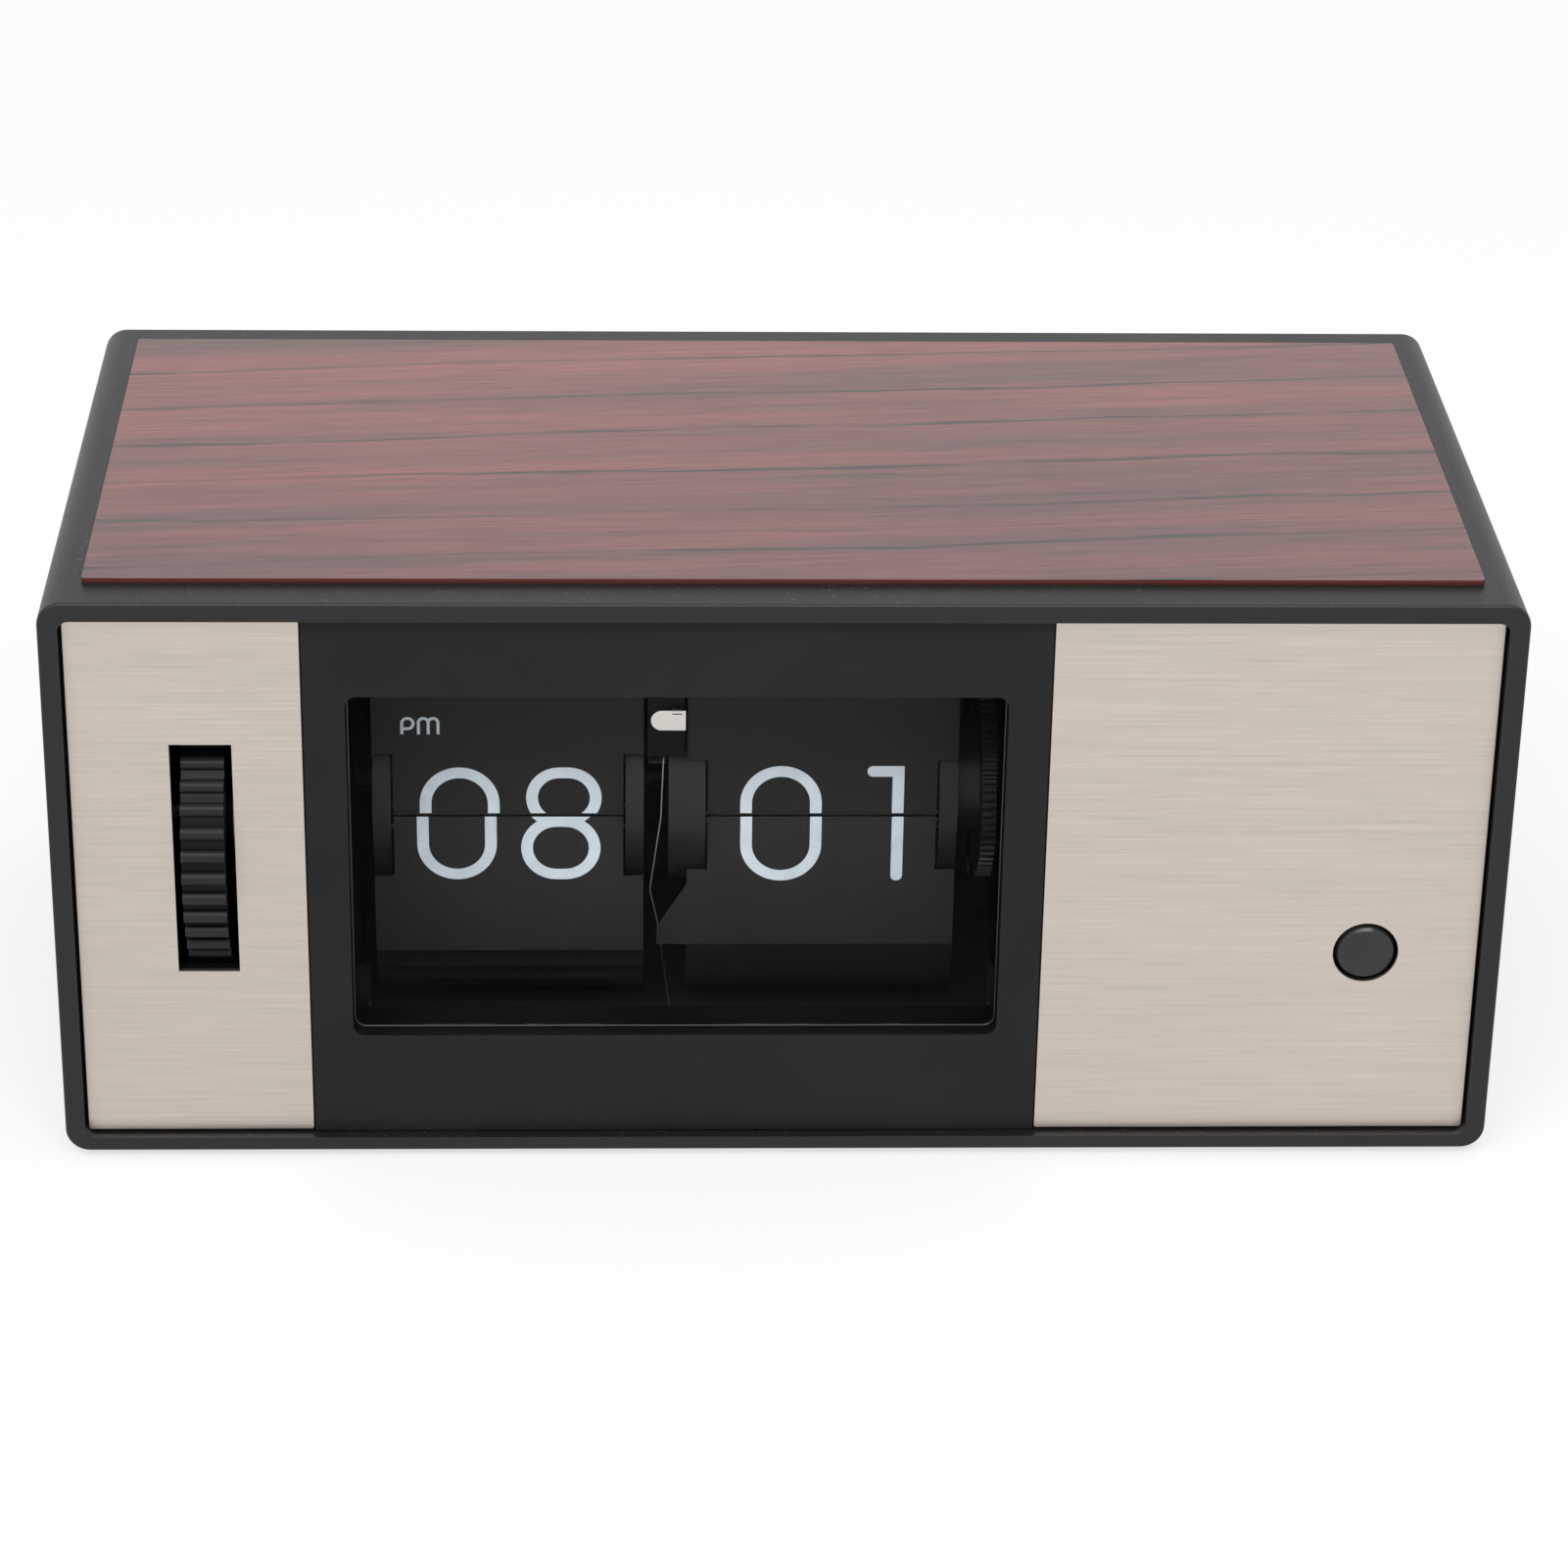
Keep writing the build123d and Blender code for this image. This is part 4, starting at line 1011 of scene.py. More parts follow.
@dataclass
class NumberFace:
    """Rounded even-stroke figures as drawn on the leaves, in millimetres and degrees."""

    stroke: float = 1.5
    thickness: float = 0.03
    width: float = 10.2
    top: float = 42.9
    low: float = 26.75
    eight_narrower: float = 0.55
    eight_upper: float = 8.55
    eight_lower: float = 9.1
    one_flag: float = 5.5
    two_foot_turn: float = -137.0
    two_slope: float = 10.2
    two_hook_turns: Span = (47.0, 155.0)
    nine_ring: float = 9.4
    nine_tail: float = 11.6
    nine_turn: float = -130.0
    letter_stroke: float = 0.38
    letter_height: float = 2.4
    letter_bow: float = 0.72
    arch_starts: Span = (2.3, 3.54)
    arch_bow: float = 0.62
    arch_overlap: float = 1.1

    def across(self) -> float:
        """Half a figure's width at the stroke's middle."""
        return (self.width - self.stroke) / 2

    def pen(self, name: str, stroke: float = 0.0) -> StrokePen:
        """A pen of this face's stroke, or another."""
        return StrokePen(name, stroke or self.stroke, self.thickness)

    def ring(self, name: str, x: float, width: float, low: float, top: float) -> Piece:
        """Draw a closed ring with round ends.

        Args:
            name: Name of the ring.
            x: Middle of the ring.
            width: Width over the stroke.
            low: Lowest point.
            top: Highest point.

        Returns:
            The ring.
        """
        across, tall = (width - self.stroke) / 2, (top - low - self.stroke) / 2
        middle, bow, straight = (low + top) / 2, min(across, tall), 2 * abs(tall - across)
        if tall >= across:
            pen = self.pen(name).begin(x + across, middle - tall + across, 90, straight)
        else:
            pen = self.pen(name).begin(x + across - tall, middle + tall, 180, straight)
        return pen.bend(180, bow).run(straight).bend(180, bow).lift()

    def zero(self, x: float) -> Piece:
        """Figure 0 about a middle."""
        return self.ring("figure_0", x, self.width, self.low, self.top)

    def eight(self, x: float) -> Piece:
        """Figure 8 of two wide rings that share a stroke.

        Args:
            x: Middle of the figure.

        Returns:
            The figure.
        """
        upper = self.ring("figure_8", x, self.width - self.eight_narrower, self.top - self.eight_upper,
                          self.top)
        return merged(upper, self.ring("figure_8_low", x, self.width, self.low, self.low + self.eight_lower))

    def one(self, x: float) -> Piece:
        """Figure 1 with a flat flag and a square shoulder.

        Args:
            x: Right edge of its stem.

        Returns:
            The figure.
        """
        half, flag = self.stroke / 2, self.one_flag
        pen = self.pen("figure_1").begin(x - flag + half, self.top - half, 0, flag - 3 * half)
        pen.corner().run(self.top - self.low - self.stroke).round_end()
        return pen.round_start().lift()

    def two(self, x: float) -> Piece:
        """Figure 2, drawn back from the end of its foot.

        Args:
            x: Middle of the figure.

        Returns:
            The figure.
        """
        across, half = self.across(), self.stroke / 2
        pen = self.pen("figure_2").begin(x + across, self.low + half, 180, 2 * across)
        pen.bend(self.two_foot_turn, half).run(self.two_slope)
        for turn in self.two_hook_turns:
            pen.bend(turn, across)
        return pen.round_end().round_start().lift()

    def nine(self, x: float) -> Piece:
        """Figure 9 of a wide ring and a hooked tail.

        Args:
            x: Middle of the figure.

        Returns:
            The figure.
        """
        across = self.across()
        ring = self.ring("figure_9", x, self.width, self.top - self.nine_ring, self.top)
        tail = self.pen("figure_9_tail")
        tail.begin(x + across, self.top - self.nine_ring / 2, 270, self.nine_tail - across - self.stroke / 2)
        return merged(ring, tail.bend(self.nine_turn, across).round_end().lift())

    def afternoon(self, x: float, low: float) -> Piece:
        """Small round letters for the afternoon hours.

        Args:
            x: Left edge.
            low: Lowest point.

        Returns:
            The letters.
        """
        thin, half, bow, arch = self.letter_stroke, self.letter_stroke / 2, self.letter_bow, self.arch_bow
        leg = self.letter_height - half - arch
        first, second = (x + start for start in self.arch_starts)
        left = self.pen("letter_p", thin).begin(x + half, low, 90, self.letter_height - half - bow)
        stem = left.bend(-180, bow).bend(-90, bow).run(bow - half).lift()
        opening = self.pen("letter_m", thin).begin(first, low, 90, leg).bend(-180, arch).run(leg).lift()
        closing = self.pen("letter_m_end", thin)
        closing.begin(second, low + self.letter_height - half - self.arch_overlap, 90,
                      self.arch_overlap - arch)
        return joined([stem, merged(opening, closing.bend(-180, arch).run(leg).lift())], "letters")


@dataclass
class LeafPlace:
    """Where a leaf's pivot is and how it leans, in millimetres and degrees."""

    y: float
    z: float
    lean: float

    def matrix(self, origin_z: float, front: float) -> Matrix:
        """Move a flat drawing on to the leaf.

        Args:
            origin_z: Height in the drawing that goes to the pivot.
            front: Place of the drawing's back along the leaf's normal.

        Returns:
            The drawing's matrix.
        """
        pivot = Matrix.Translation(Vector((0.0, self.y, self.z)) * MM)
        lean = Matrix.Rotation(math.radians(-self.lean), 4, "X")
        return pivot @ lean @ Matrix.Translation(Vector((0.0, front, -origin_z)) * MM)


@dataclass
class DrumPrint(SubAssembly):
    """The numbers on one drum's leaves: the one that shows and the next one behind it."""

    name: str
    flap: Body
    flip: LeafPlace
    lower: LeafPlace
    following: LeafPlace
    lower_shift: float
    leaf: float = 0.12
    cut_high: float = 36.45
    cut_low: float = 35.8
    skin: float = 0.004
    sliver: float = 1.5e-5
    flat_angle: float = 0.2
    ink: Finish = PrintInk("number_ink")

    def half(self, number: Piece, half: Half, name: str) -> Piece:
        """Cut one half from a copy of a number.

        Args:
            number: The whole number.
            half: Which half stays.
            name: Name of the piece.

        Returns:
            The half number.
        """
        piece = copy_of(number, name)
        upper = half is Half.UPPER
        level = self.cut_high if upper else self.cut_low
        pick(piece, lambda co: True)
        bpy.ops.mesh.bisect(plane_co=(0.0, 0.0, level * MM), plane_no=(0.0, 0.0, 1.0), use_fill=True,
                            clear_inner=upper, clear_outer=not upper, threshold=HAIR)
        bpy.ops.mesh.select_all(action="SELECT")
        bpy.ops.mesh.remove_doubles(threshold=self.sliver)
        bpy.ops.mesh.dissolve_limited(angle_limit=math.radians(self.flat_angle))
        leave_edit()
        return piece

    def build(self, shown: Piece, after: Piece) -> None:
        """Print both numbers on the drum's leaves.

        Args:
            shown: The number that shows, drawn flat.
            after: The next number, drawn flat.
        """
        front = -self.leaf / 2 - self.skin
        slide = Matrix.Translation((self.lower_shift * MM, 0.0, 0.0))
        turned = Matrix.Rotation(math.pi, 4, "X") @ Matrix.Translation((0.0, front * MM, -self.lower.z * MM))
        prints = (
            (shown, Half.UPPER, "_upper_print", self.flip.matrix(self.flip.z, front), self.flap),
            (shown, Half.LOWER, "_lower_print", slide @ self.lower.matrix(self.lower.z, front), Body.CLOCK),
            (after, Half.UPPER, "_next_upper_print", self.following.matrix(self.flip.z, front), Body.CLOCK),
            (after, Half.LOWER, "_next_lower_print", self.flip.matrix(0.0, 0.0) @ turned, self.flap),
        )
        for number, half, name, matrix, body in prints:
            piece = self.half(number, half, self.name + name)
            piece.matrix_world = matrix
            apply_place(piece)
            pick(piece, lambda co: True)
            leave_facing_out()
            self.keep(piece, self.ink, body, "leaf_plastic")
        for spent in (shown, after):
            bpy.data.objects.remove(spent)


@dataclass
class Prints(SubAssembly):
    """All the printed numbers of the clock, in millimetres and degrees."""

    drum_y: float = -8.5
    drum_z: float = 36.0
    pivot: float = 11.5
    flip_forward: float = 0.38
    flip_lean: float = 1.5
    lower_forward: float = 0.13
    hour_tens: float = -40.62
    hour_ones: float = -27.3
    letters: Span = (-48.0, 47.55)
    minute_tens: float = 0.5
    minute_one: float = 16.25
    minute_two: float = 12.6

    def drum(self, name: str, flap: Body, count: int, following_lean: float, shift: float) -> DrumPrint:
        """Places of one drum's leaves.

        Args:
            name: The drum's name.
            flap: Body of its flip leaf.
            count: How many leaves the drum has.
            following_lean: Lean of the leaf behind the flip leaf.
            shift: How far the lower print is off to the right.

        Returns:
            The drum's prints, not built yet.
        """
        step, front = math.pi / count, self.drum_y - self.pivot
        rise = self.pivot * math.sin(step)
        flip = LeafPlace(front - self.flip_forward, self.drum_z + rise, self.flip_lean)
        lower = LeafPlace(front - self.lower_forward, self.drum_z - rise, 0.0)
        behind = LeafPlace(self.drum_y - self.pivot * math.cos(3 * step),
                           self.drum_z + self.pivot * math.sin(3 * step), following_lean)
        return DrumPrint(self.dresser, name, flap, flip, lower, behind, shift)

    def build(self) -> None:
        """Draw the numbers and lay them on the leaves."""
        face = NumberFace()
        numbers: List[Piece] = []
        for figure, name in ((face.eight, "hour_number"), (face.nine, "hour_after")):
            signs = [face.zero(self.hour_tens), figure(self.hour_ones), face.afternoon(*self.letters)]
            numbers.append(joined(signs, name))
        self.drum("hour", Body.HOUR_FLAP, count=24, following_lean=6.5, shift=-0.42).build(*numbers)
        face = NumberFace(width=10.45, top=43.1, low=26.55)
        figures = ((face.one, self.minute_one, "minute_number"), (face.two, self.minute_two, "minute_after"))
        numbers = [joined([face.zero(self.minute_tens), figure(x)], name) for figure, x, name in figures]
        self.drum("minute", Body.MINUTE_FLAP, count=60, following_lean=2.0, shift=0.06).build(*numbers)


# Case, front and movement


@dataclass
class CaseDress(SubAssembly):
    """Case, top sheet, feet and rear cover, in millimetres."""

    head_radius: float = 2.6
    head_height: float = 1.3
    head_edge: float = 0.35
    head_sides: int = 40
    shank_radius: float = 1.3
    recess_length: float = 1.15
    recess_width: float = 0.75
    recess_depth: float = 0.8
    recess_taper: float = 0.5
    first_turn: float = 0.4
    turn_step: float = 1.1
    rib_count: int = 4
    rib_size: Triple = (11.0, 0.8, 0.5)
    rib_below_face: float = 0.2
    rib_low: float = 2.0
    rib_pitch: float = 1.0
    rib_edge: float = 0.18
    edge_segments: int = 3
    plastic: Finish = MouldedPlastic("case_plastic", (0.0095, 0.0093, 0.0097), rough=0.42, gloss=0.33,
                                     mottle=0.06, rub=0.25, dust=0.3)
    rubber: Finish = MouldedPlastic("foot_rubber", (0.012, 0.012, 0.012), rough=0.8, gloss=0.3,
                                    fine=1500.0, bump=0.2)
    wood: Finish = RoseWood("rose_wood")
    steel: Finish = BrushedMetal("screw_steel", (0.52, 0.52, 0.53), rough=0.32, along=900.0, across=900.0,
                                 depth=0.06)

    def recess_cutter(self, back: float) -> Piece:
        """Tapered cross for a screw's recess.

        Args:
            back: Y of the screw's outer face.

        Returns:
            The cutter.
        """
        size = Vector((self.head_radius * self.recess_length, 2 * self.recess_depth, self.recess_width)) * MM
        taper, centre = self.recess_taper, (0.0, back, 0.0)
        bars: List[Piece] = []
        for turn in (0.0, math.pi / 2):
            bars.append(block("recess_bar", size, centre, turn))
            pick(bars[-1], lambda co: co.y < back)
            bpy.ops.transform.resize(value=(taper, 1.0, taper), center_override=centre)
            leave_edit()
        return merged(*bars)

    def screw(self, back: float, reach: float) -> Piece:
        """Pan-head screw on the Y axis with a cross recess.

        Args:
            back: Y of the head's outer face.
            reach: Y of the shank's inner end.

        Returns:
            The screw.
        """
        seat = back - self.head_height * MM
        screw = round_bar("screw", self.head_radius * MM, (seat, back), (0.0, 0.0), self.head_sides)
        pick(screw, lambda co: co.y > back - NEAR)
        bpy.ops.mesh.bevel(offset=self.head_edge * MM, segments=self.edge_segments, affect="EDGES")
        leave_edit()
        pick(screw, lambda co: co.y < seat + NEAR)
        bpy.ops.mesh.inset(thickness=(self.head_radius - self.shank_radius) * MM)
        extrude((0.0, reach - seat, 0.0))
        leave_facing_out()
        return merged(screw, self.recess_cutter(back), Merge.CUT)

    def rear_screws(self) -> None:
        """Put recessed screws in place of the plain ones."""
        low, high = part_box("rear_cover_screws")
        first = self.screw(high.y, low.y)
        edge = self.head_radius * MM
        places = [(x, z) for x in (low.x + edge, high.x - edge) for z in (low.z + edge, high.z - edge)]
        copies: List[Piece] = []
        for number, (x, z) in enumerate(places):
            screw = copy_of(first, f"rear_screw_{number}")
            screw.rotation_euler = (0.0, self.first_turn + self.turn_step * number, 0.0)
            screw.location = (x, 0.0, z)
            apply_place(screw)
            copies.append(screw)
        bpy.data.objects.remove(first)
        screws = joined(copies, "rear_screws")
        self.keep(screws, self.steel, Body.CLOCK, "shaft_steel")
        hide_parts("rear_cover_screws")

    def door_ribs(self) -> None:
        """Grip ribs in the battery door's finger notch."""
        low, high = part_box("battery_door")
        size, top = Vector(self.rib_size) * MM, high.y - self.rib_below_face * MM
        ribs: List[Piece] = []
        for number in range(self.rib_count):
            height = low.z + (self.rib_low + self.rib_pitch * number) * MM
            ribs.append(block(f"door_rib_{number}", size, ((low.x + high.x) / 2, top - size.y / 2, height)))
            pick(ribs[-1], lambda co: co.y > top - NEAR)
            bpy.ops.mesh.bevel(offset=self.rib_edge * MM, segments=self.edge_segments, affect="EDGES")
            leave_edit()
        self.keep(joined(ribs, "door_ribs"), self.plastic, Body.BATTERY_LID, "case_plastic")

    def build(self) -> None:
        """Dress the case and model its small rear pieces."""
        self.nodes(self.plastic, "case_shell", "rear_cover", "battery_door")
        self.nodes(self.rubber, "rubber_feet")
        self.nodes(self.wood, "top_panel")
        self.nodes(self.steel, "rear_cover_screws")
        self.rear_screws()
        self.door_ribs()


@dataclass
class FrontDress(SubAssembly):
    """Fascia, trim plates, window and controls, in millimetres."""

    bead_width: float = 0.28
    bead_height: float = 0.5
    bead_forward: float = 0.9
    bead_edge: float = 0.11
    bead_segments: int = 3
    window_margin: float = 1.2
    window_corner: float = 1.5
    corner_segments: int = 6
    cap_radius: float = 3.8
    cap_depth: float = 5.3
    cap_edge: float = 1.1
    cap_facets: int = 4
    cap_sides: int = 72
    cap_smooth: float = math.radians(20)
    collar_thickness: float = 1.0
    stem_radius: float = 1.4
    blade_steps: int = 12
    blade_tip: float = 0.6
    blade_edge: float = 0.2
    blade_segments: int = 2
    # The fascia carries painted shade inside the window's opening.
    fascia: Finish = DeepPlastic("fascia_plastic", (0.0094, 0.0092, 0.0095), rough=0.5, gloss=0.18,
                                 rub=0.15, dust=0.2)
    # The thumbwheel carries painted shade in its grooves.
    wheel: Finish = RibbedPlastic("wheel_plastic", (0.0165, 0.0165, 0.0175), rough=0.42, gloss=0.15)
    button: Finish = MouldedPlastic("button_plastic", (0.009, 0.0087, 0.0089), rough=0.22, bump=0.04)
    bead: Finish = MouldedPlastic("bead_plastic", (0.006, 0.006, 0.006), rough=0.16, gloss=0.6, bump=0.03)
    trim: Finish = BrushedMetal("brushed_trim", (0.575, 0.517, 0.465), rough=0.42, along=60.0, across=4200.0,
                                bands=0.012, bump=0.12)
    lens: Finish = ClearSheet("clear_sheet")

    def window_bead(self) -> None:
        """Glossy bead that holds the clear sheet, all round the window."""
        low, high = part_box("window_lens")
        size = (high - low) - Vector((1.0, 0.0, 1.0)) * 2 * self.window_margin * MM
        middle = (low + high) / 2
        clear_selection()
        bpy.ops.mesh.primitive_plane_add(size=1.0, rotation=(math.pi / 2, 0.0, 0.0))
        bead = named(bpy.context.object, "window_bead")
        bead.scale = (size.x, size.z, 1.0)
        bead.location = (middle.x, low.y - self.bead_forward * MM, middle.z)
        apply_place(bead)
        pick(bead, lambda co: True)
        bpy.ops.mesh.bevel(offset=self.window_corner * MM, segments=self.corner_segments, affect="VERTICES")
        bpy.ops.mesh.select_all(action="SELECT")
        bpy.ops.mesh.inset(thickness=self.bead_width * MM)
        bpy.ops.mesh.delete(type="FACE")
        leave_edit()
        apply_modifier(bead, "SOLIDIFY", thickness=self.bead_height * MM, offset=1.0)
        apply_modifier(bead, "BEVEL", width=self.bead_edge * MM, segments=self.bead_segments,
                       limit_method="ANGLE")
        self.keep(bead, self.bead, Body.CLOCK, "fascia_plastic")

    def button_cap(self) -> None:
        """Push button with a faceted edge, a retaining collar and a stem."""
        low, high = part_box("button")
        middle, collar = (low + high) / 2, (high.x - low.x) / 2
        front, shoulder = low.y, low.y + self.cap_depth * MM
        radius, thickness = self.cap_radius * MM, self.collar_thickness * MM
        cap = round_bar("button_cap", radius, (front, shoulder), (middle.x, middle.z), self.cap_sides)
        pick(cap, lambda co: co.y < front + NEAR)
        bpy.ops.mesh.bevel(offset=self.cap_edge * MM, segments=self.cap_facets, affect="EDGES")
        leave_edit()
        pick(cap, lambda co: co.y > shoulder - NEAR)
        wider = collar / radius
        extrude((0.0, 0.0, 0.0))
        bpy.ops.transform.resize(value=(wider, 1.0, wider), center_override=(middle.x, shoulder, middle.z))
        extrude((0.0, thickness, 0.0))
        bpy.ops.mesh.inset(thickness=collar - self.stem_radius * MM)
        extrude((0.0, high.y - shoulder - thickness, 0.0))
        leave_facing_out()
        bpy.ops.object.shade_smooth_by_angle(angle=self.cap_smooth)
        self.keep(cap, self.button, Body.PUSH_BUTTON, "control_plastic")
        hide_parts("button")

    def contact_blade(self) -> None:
        """Springy contact strip with a narrow tip, in place of the plain one."""
        low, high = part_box("switch_blade")
        size, step, middle = high - low, (high.x - low.x) / self.blade_steps, (low + high) / 2
        first = high.x - step / 2
        blade = block("contact_blade", (step, size.y, size.z), (first, middle.y, middle.z))
        pick(blade, lambda co: co.x < first)
        for _ in range(self.blade_steps - 1):
            extrude((-step, 0.0, 0.0))
        bpy.ops.transform.resize(value=(1.0, 1.0, self.blade_tip), center_override=low)
        leave_edit()
        edge = size.y * self.blade_edge
        apply_modifier(blade, "BEVEL", width=edge, segments=self.blade_segments, limit_method="ANGLE")
        self.dresser.dress(blade, CONTACT_BRASS)
        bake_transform(blade)
        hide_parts("switch_blade")
        LOG.info("built %s, which bends with the button", blade.name)

    def build(self) -> None:
        """Dress the front and model its small pieces."""
        self.nodes(self.fascia, "fascia")
        self.nodes(self.wheel, "thumbwheel")
        self.nodes(self.button, "button")
        self.nodes(self.trim, "left_trim_plate", "right_trim_plate")
        self.nodes(self.lens, "window_lens")
        self.window_bead()
        self.button_cap()
        self.contact_blade()


@dataclass
class MovementDress(SubAssembly):
    """Drums, leaves, gears, frame, motor and battery, in millimetres."""

    wire_radius: float = 0.07
    wire_facets: int = 2
    wire_bend: float = 0.5
    bend_steps: int = 4
    wire_smooth: float = math.radians(50)
    wire_route: Tuple[Triple, ...] = (
        (-13.7, -18.73, 4.5), (-13.7, -18.73, 7.5), (-15.2, -21.73, 21.0), (-16.3, -21.73, 26.0),
        (-14.9, -21.73, 36.5), (-14.6, -21.13, 44.62))
    leaf: Finish = LeafSheet("leaf_sheet", (0.0172, 0.017, 0.0172))
    # Lighter copy of the leaf sheet for the lower leaves: painted light.
    lower: Finish = LeafSheet("lower_sheet_painted_light", (0.025, 0.0247, 0.025))
    # Darker copy of the leaf sheet for the stacks behind the front leaves: painted shade.
    stack: Finish = LeafSheet("stack_sheet_painted_shade", (0.006, 0.006, 0.006), rough=0.6, gloss=0.15)
    drum: Finish = MouldedPlastic("drum_plastic", (0.013, 0.013, 0.0135), rough=0.5, gloss=0.35)
    gear: Finish = MouldedPlastic("natural_nylon", (0.62, 0.6, 0.54), rough=0.42, mottle=0.05)
    drive: Finish = MouldedPlastic("drive_gear_plastic", (0.014, 0.011, 0.01), rough=0.4, gloss=0.4)
    moulded: Finish = MouldedPlastic("frame_plastic", (0.01, 0.01, 0.0105), rough=0.5, gloss=0.3)
    board: Finish = MouldedPlastic("board_laminate", (0.03, 0.11, 0.05), rough=0.35, coarse=200.0,
                                   fine=1800.0)
    jacket: Finish = MouldedPlastic("cell_jacket", (0.05, 0.06, 0.08), rough=0.25, mottle=0.05, bump=0.02)
    steel: Finish = BrushedMetal("turned_steel", (0.55, 0.55, 0.56), rough=0.28, along=2500.0, across=60.0,
                                 depth=0.06)
    # Painted shade: a darkened copy of the turned steel, for the thumbwheel's shaft.
    shaded_steel: Finish = BrushedMetal("steel_painted_shade", (0.06, 0.06, 0.063), rough=0.4, along=2500.0, across=60.0,
                                 depth=0.06)
    nickel: Finish = BrushedMetal("nickel_spring", (0.74, 0.71, 0.67), rough=0.32, along=300.0, across=900.0,
                                  depth=0.05)
    wire: Finish = BrushedMetal("trip_wire_steel", (0.52, 0.49, 0.46), along=900.0, across=900.0, depth=0.08)
    black: Finish = BrushedMetal("black_oxide", (0.012, 0.012, 0.012), rough=0.5, along=200.0, across=900.0)
    can: Finish = BrushedMetal("motor_can", (0.45, 0.45, 0.46), across=900.0, depth=0.08)

    def wire_points(self) -> List[Vector]:
        """The wire's middle line with its corners rounded.

        Returns:
            Points in metres from the foot to the tip.
        """
        corners = [Vector(point) * MM for point in self.wire_route]
        shares = [step / self.bend_steps for step in range(self.bend_steps + 1)]
        points = [corners[0]]
        for before, corner, after in zip(corners, corners[1:], corners[2:]):
            back, on = ((end - corner).normalized() * self.wire_bend * MM for end in (before, after))
            points += [corner + back * (1 - share) ** 2 + on * share ** 2 for share in shares]
        return points + [corners[-1]]

    def trip_wire(self) -> None:
        """Hair-thin spring wire in place of the plain one, drawn along its middle line."""
        points = self.wire_points()
        clear_selection()
        bpy.ops.mesh.primitive_plane_add(size=MM, location=points[0])
        apply_place(bpy.context.object)
        pick(bpy.context.object, lambda co: True)
        bpy.ops.mesh.merge(type="CENTER")
        for here, there in zip(points, points[1:]):
            bpy.ops.mesh.extrude_vertices_move(TRANSFORM_OT_translate={"value": there - here})
        leave_edit()
        bpy.ops.object.convert(target="CURVE")
        line = bpy.context.object.data
        line.bevel_depth, line.bevel_resolution = self.wire_radius * MM, self.wire_facets
        line.use_fill_caps = True
        bpy.ops.object.convert(target="MESH")
        bpy.ops.object.shade_smooth_by_angle(angle=self.wire_smooth)
        wire = named(bpy.context.object, "trip_spring_wire")
        self.keep(wire, self.wire, Body.CLOCK, "spring_nickel")
        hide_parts("trip_wire")

    def build(self) -> None:
        """Dress the movement and model its thin wire."""
        self.nodes(self.leaf, "minute_flip_leaf", "hour_flip_leaf")
        # Painted light: the lower leaves wear the lighter copy of the sheet.
        self.nodes(self.lower, "minute_lower_leaf", "hour_lower_leaf")
        # Painted shade: the leaf stacks wear the darker copy of the sheet.
        self.nodes(self.stack, "minute_leaf_stack", "hour_leaf_stack")
        self.nodes(self.drum, "minute_flange_left", "minute_flange_right", "trip_disc", "hour_flange_left",
                   "hour_flange_right")
        self.nodes(self.gear, "minute_pinion", "setting_gear", "hour_gear", "idler_cluster",
                   "thumbwheel_gear", "motor_pinion")
        self.nodes(self.drive, "drive_gear")
        self.nodes(self.moulded, "movement_base", "left_side_plate", "right_side_plate", "thumbwheel_bracket",
                   "switch_block", "battery_tube")
        self.nodes(self.board, "circuit_board")
        self.nodes(self.jacket, "battery_cell")
        self.nodes(self.steel, "idler_stud", "motor_shaft", "frame_pillars", "frame_screws", "motor_screws")
        # Painted shade on the thumbwheel's shaft.
        self.nodes(self.shaded_steel, "thumbwheel_shaft")
        self.nodes(self.nickel, "leaf_catch", "battery_contact")
        self.nodes(self.wire, "trip_wire")
        self.nodes(self.black, "main_shaft", "hour_sleeve", "catch_bracket")
        self.nodes(self.can, "motor")
        self.nodes(CONTACT_BRASS, "switch_blade", "door_contact")
        self.trip_wire()


# Studio


@dataclass
class PhotoCamera:
    """The photograph's viewpoint, in millimetres and degrees."""

    place: Triple = (-20.72, -571.10, 317.38)
    pitch: float = 26.667
    yaw: float = 2.242
    roll: float = 1.021
    lens: float = 110.69
    sensor: float = 36.0
    clip: Span = (0.01, 50.0)

    def build(self) -> None:
        """Make the scene's camera."""
        pitch, yaw, roll = (math.radians(a) for a in (self.pitch, self.yaw, self.roll))
        ahead = Vector((math.sin(yaw) * math.cos(pitch), math.cos(yaw) * math.cos(pitch), -math.sin(pitch)))
        right = Vector((math.cos(yaw), -math.sin(yaw), 0.0))
        up = right.cross(ahead)
        side = right * math.cos(roll) + up * math.sin(roll)
        over = up * math.cos(roll) - right * math.sin(roll)
        data = bpy.data.cameras.new("photo_camera")
        data.lens, data.sensor_width, data.sensor_fit = self.lens, self.sensor, "AUTO"
        data.clip_start, data.clip_end = self.clip
        camera = bpy.data.objects.new("photo_camera", data)
        bpy.context.scene.collection.objects.link(camera)
        at = Vector(self.place) * MM
        rows = [[side[i], over[i], -ahead[i], at[i]] for i in range(3)]
        camera.matrix_world = Matrix(rows + [[0, 0, 0, 1]])
        bpy.context.scene.camera = camera


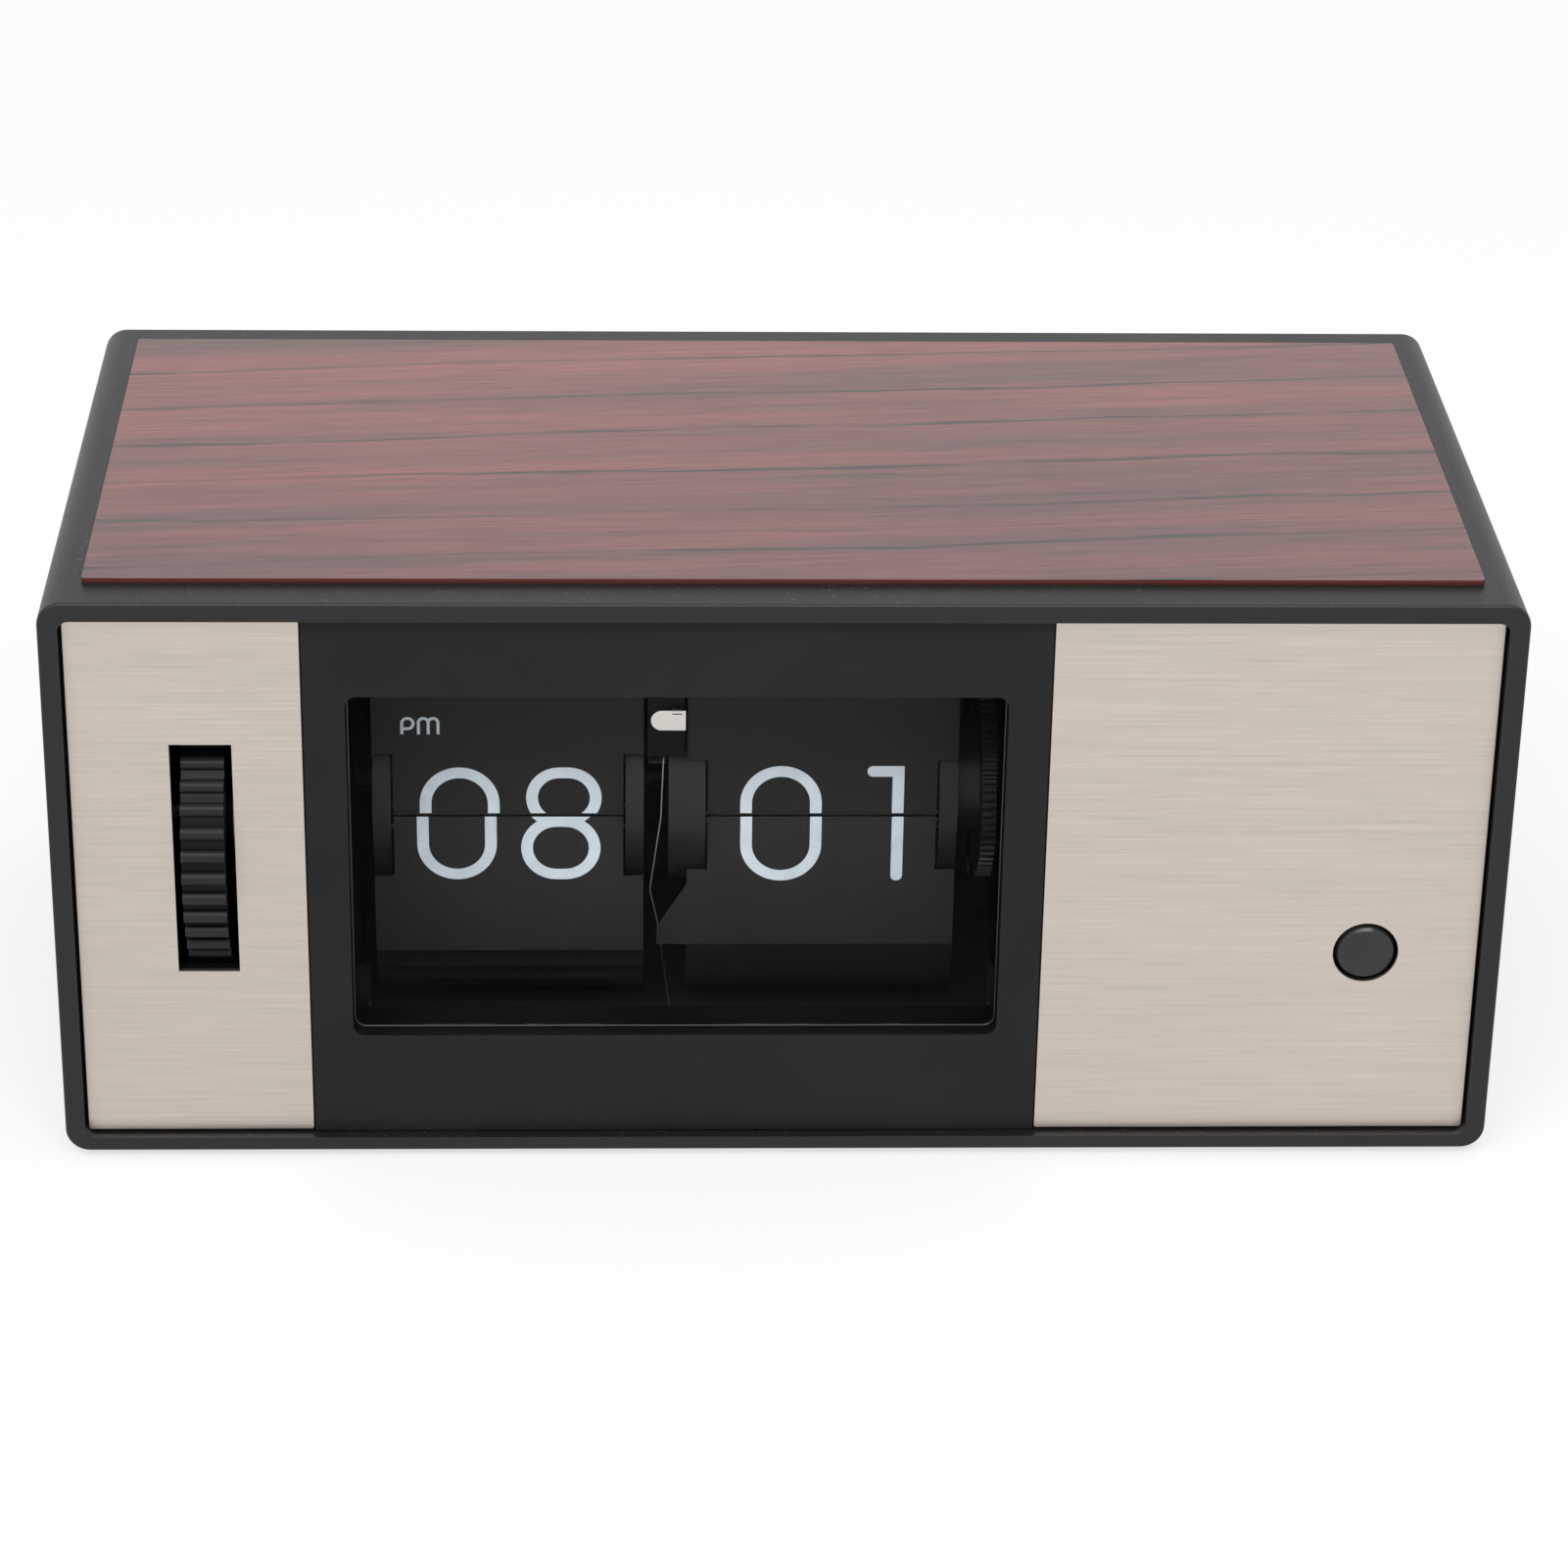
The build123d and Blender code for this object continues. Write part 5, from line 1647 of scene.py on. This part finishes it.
@dataclass(frozen=True)
class SoftLamp:
    """A soft lamp that looks at the clock, in metres and watts."""

    name: str
    place: Triple
    width: float
    depth: float
    power: float
    target: Triple = (0.0, 0.0, 0.04)

    def build(self) -> None:
        """Hang the lamp."""
        data = bpy.data.lights.new(self.name, "AREA")
        data.shape, data.size, data.size_y, data.energy = "RECTANGLE", self.width, self.depth, self.power
        lamp = bpy.data.objects.new(self.name, data)
        bpy.context.scene.collection.objects.link(lamp)
        place = Vector(self.place)
        toward = (Vector(self.target) - place).to_track_quat("-Z", "Y").to_matrix().to_4x4()
        lamp.matrix_world = Matrix.Translation(place) @ toward


@dataclass
class Studio:
    """Pale floor, white surroundings and soft lamps, in metres."""

    world: float = 0.6
    floor_size: float = 8.0
    floor_drop: float = 0.00005
    floor_colour: Colour = (0.9, 0.9, 0.9)
    floor_rough: float = 0.8
    floor_gloss: float = 0.1
    floor_coarse: float = 6.0
    floor_fine: float = 300.0
    floor_mottle: float = 0.99
    floor_white: float = 0.68
    fade: Span = (0.8, 2.4)
    lamps: Tuple[SoftLamp, ...] = (SoftLamp("front_softbox", (-0.15, -0.9, 1.05), 1.5, 0.55, 15.5),
                                   SoftLamp("top_softbox", (0.3, 0.3, 1.3), 1.0, 1.0, 2.5))

    @staticmethod
    def seen(sheet: NodeSheet) -> Socket:
        """Mask of the rays that show the background: straight, in metal and through glass.

        Args:
            sheet: Nodes of the floor or of the world.

        Returns:
            The mask's socket.
        """
        path = sheet.add("LightPath").outputs
        seen = sheet.maths("MAXIMUM", path["Is Camera Ray"], path["Is Glossy Ray"])
        return sheet.maths("MAXIMUM", seen, path["Is Transmission Ray"])

    def floor(self) -> None:
        """Lay the pale floor, which fades to white far from the clock."""
        clear_selection()
        bpy.ops.mesh.primitive_plane_add(size=self.floor_size, location=(0.0, 0.0, -self.floor_drop))
        floor = named(bpy.context.object, "studio_floor")
        apply_place(floor)
        plain = {"Roughness": self.floor_rough, "Specular IOR Level": self.floor_gloss}
        sheet = MaterialSheet("studio_floor", plain)
        grain = sheet.use(Effects.mould_grain(), Coarse=self.floor_coarse, Fine=self.floor_fine)
        tone = sheet.spread(grain["Tone"], 0.0, 1.0)
        colour = sheet.toned(tone, self.floor_colour, self.floor_mottle, 1.0)
        sheet.feed(sheet.shader.inputs["Base Color"], colour)
        white = sheet.add("Emission", {"Color": WHITE, "Strength": 1.0})
        far = sheet.spread(sheet.measure("LENGTH", sheet.place()), self.floor_white, 1.0, *self.fade)
        share = sheet.maths("MULTIPLY", self.seen(sheet), far)
        mix = sheet.add("MixShader", {0: share, 1: sheet.shader.outputs[0], 2: white.outputs[0]})
        sheet.feed(sheet.out.inputs["Surface"], mix.outputs[0])
        floor.data.materials.append(sheet.material)

    def surroundings(self) -> None:
        """Plain white world, at full white where it is seen or mirrored."""
        world = bpy.data.worlds.new("studio_world")
        bpy.context.scene.world = world
        world.use_nodes = True
        sheet = NodeSheet(world.node_tree)
        lit, white = (sheet.add("Background", {"Color": WHITE, "Strength": level})
                      for level in (self.world, 1.0))
        mix = sheet.add("MixShader", {0: self.seen(sheet), 1: lit.outputs[0], 2: white.outputs[0]})
        sheet.add("OutputWorld", {"Surface": mix.outputs[0]})

    def build(self) -> None:
        """Set up the floor, the surroundings and the lamps."""
        self.surroundings()
        self.floor()
        for lamp in self.lamps:
            lamp.build()
        bpy.context.scene.view_settings.view_transform = "Standard"


def main() -> None:
    """Build and dress the clock, then set up the studio."""
    logging.basicConfig(level=logging.INFO, format="%(name)s: %(message)s")
    clear_selection()
    PhotoCamera().build()
    dresser = Dresser()
    for part in (CaseDress, FrontDress, MovementDress, Prints):
        part(dresser).build()
    Studio().build()


if __name__ == "__main__":
    main()
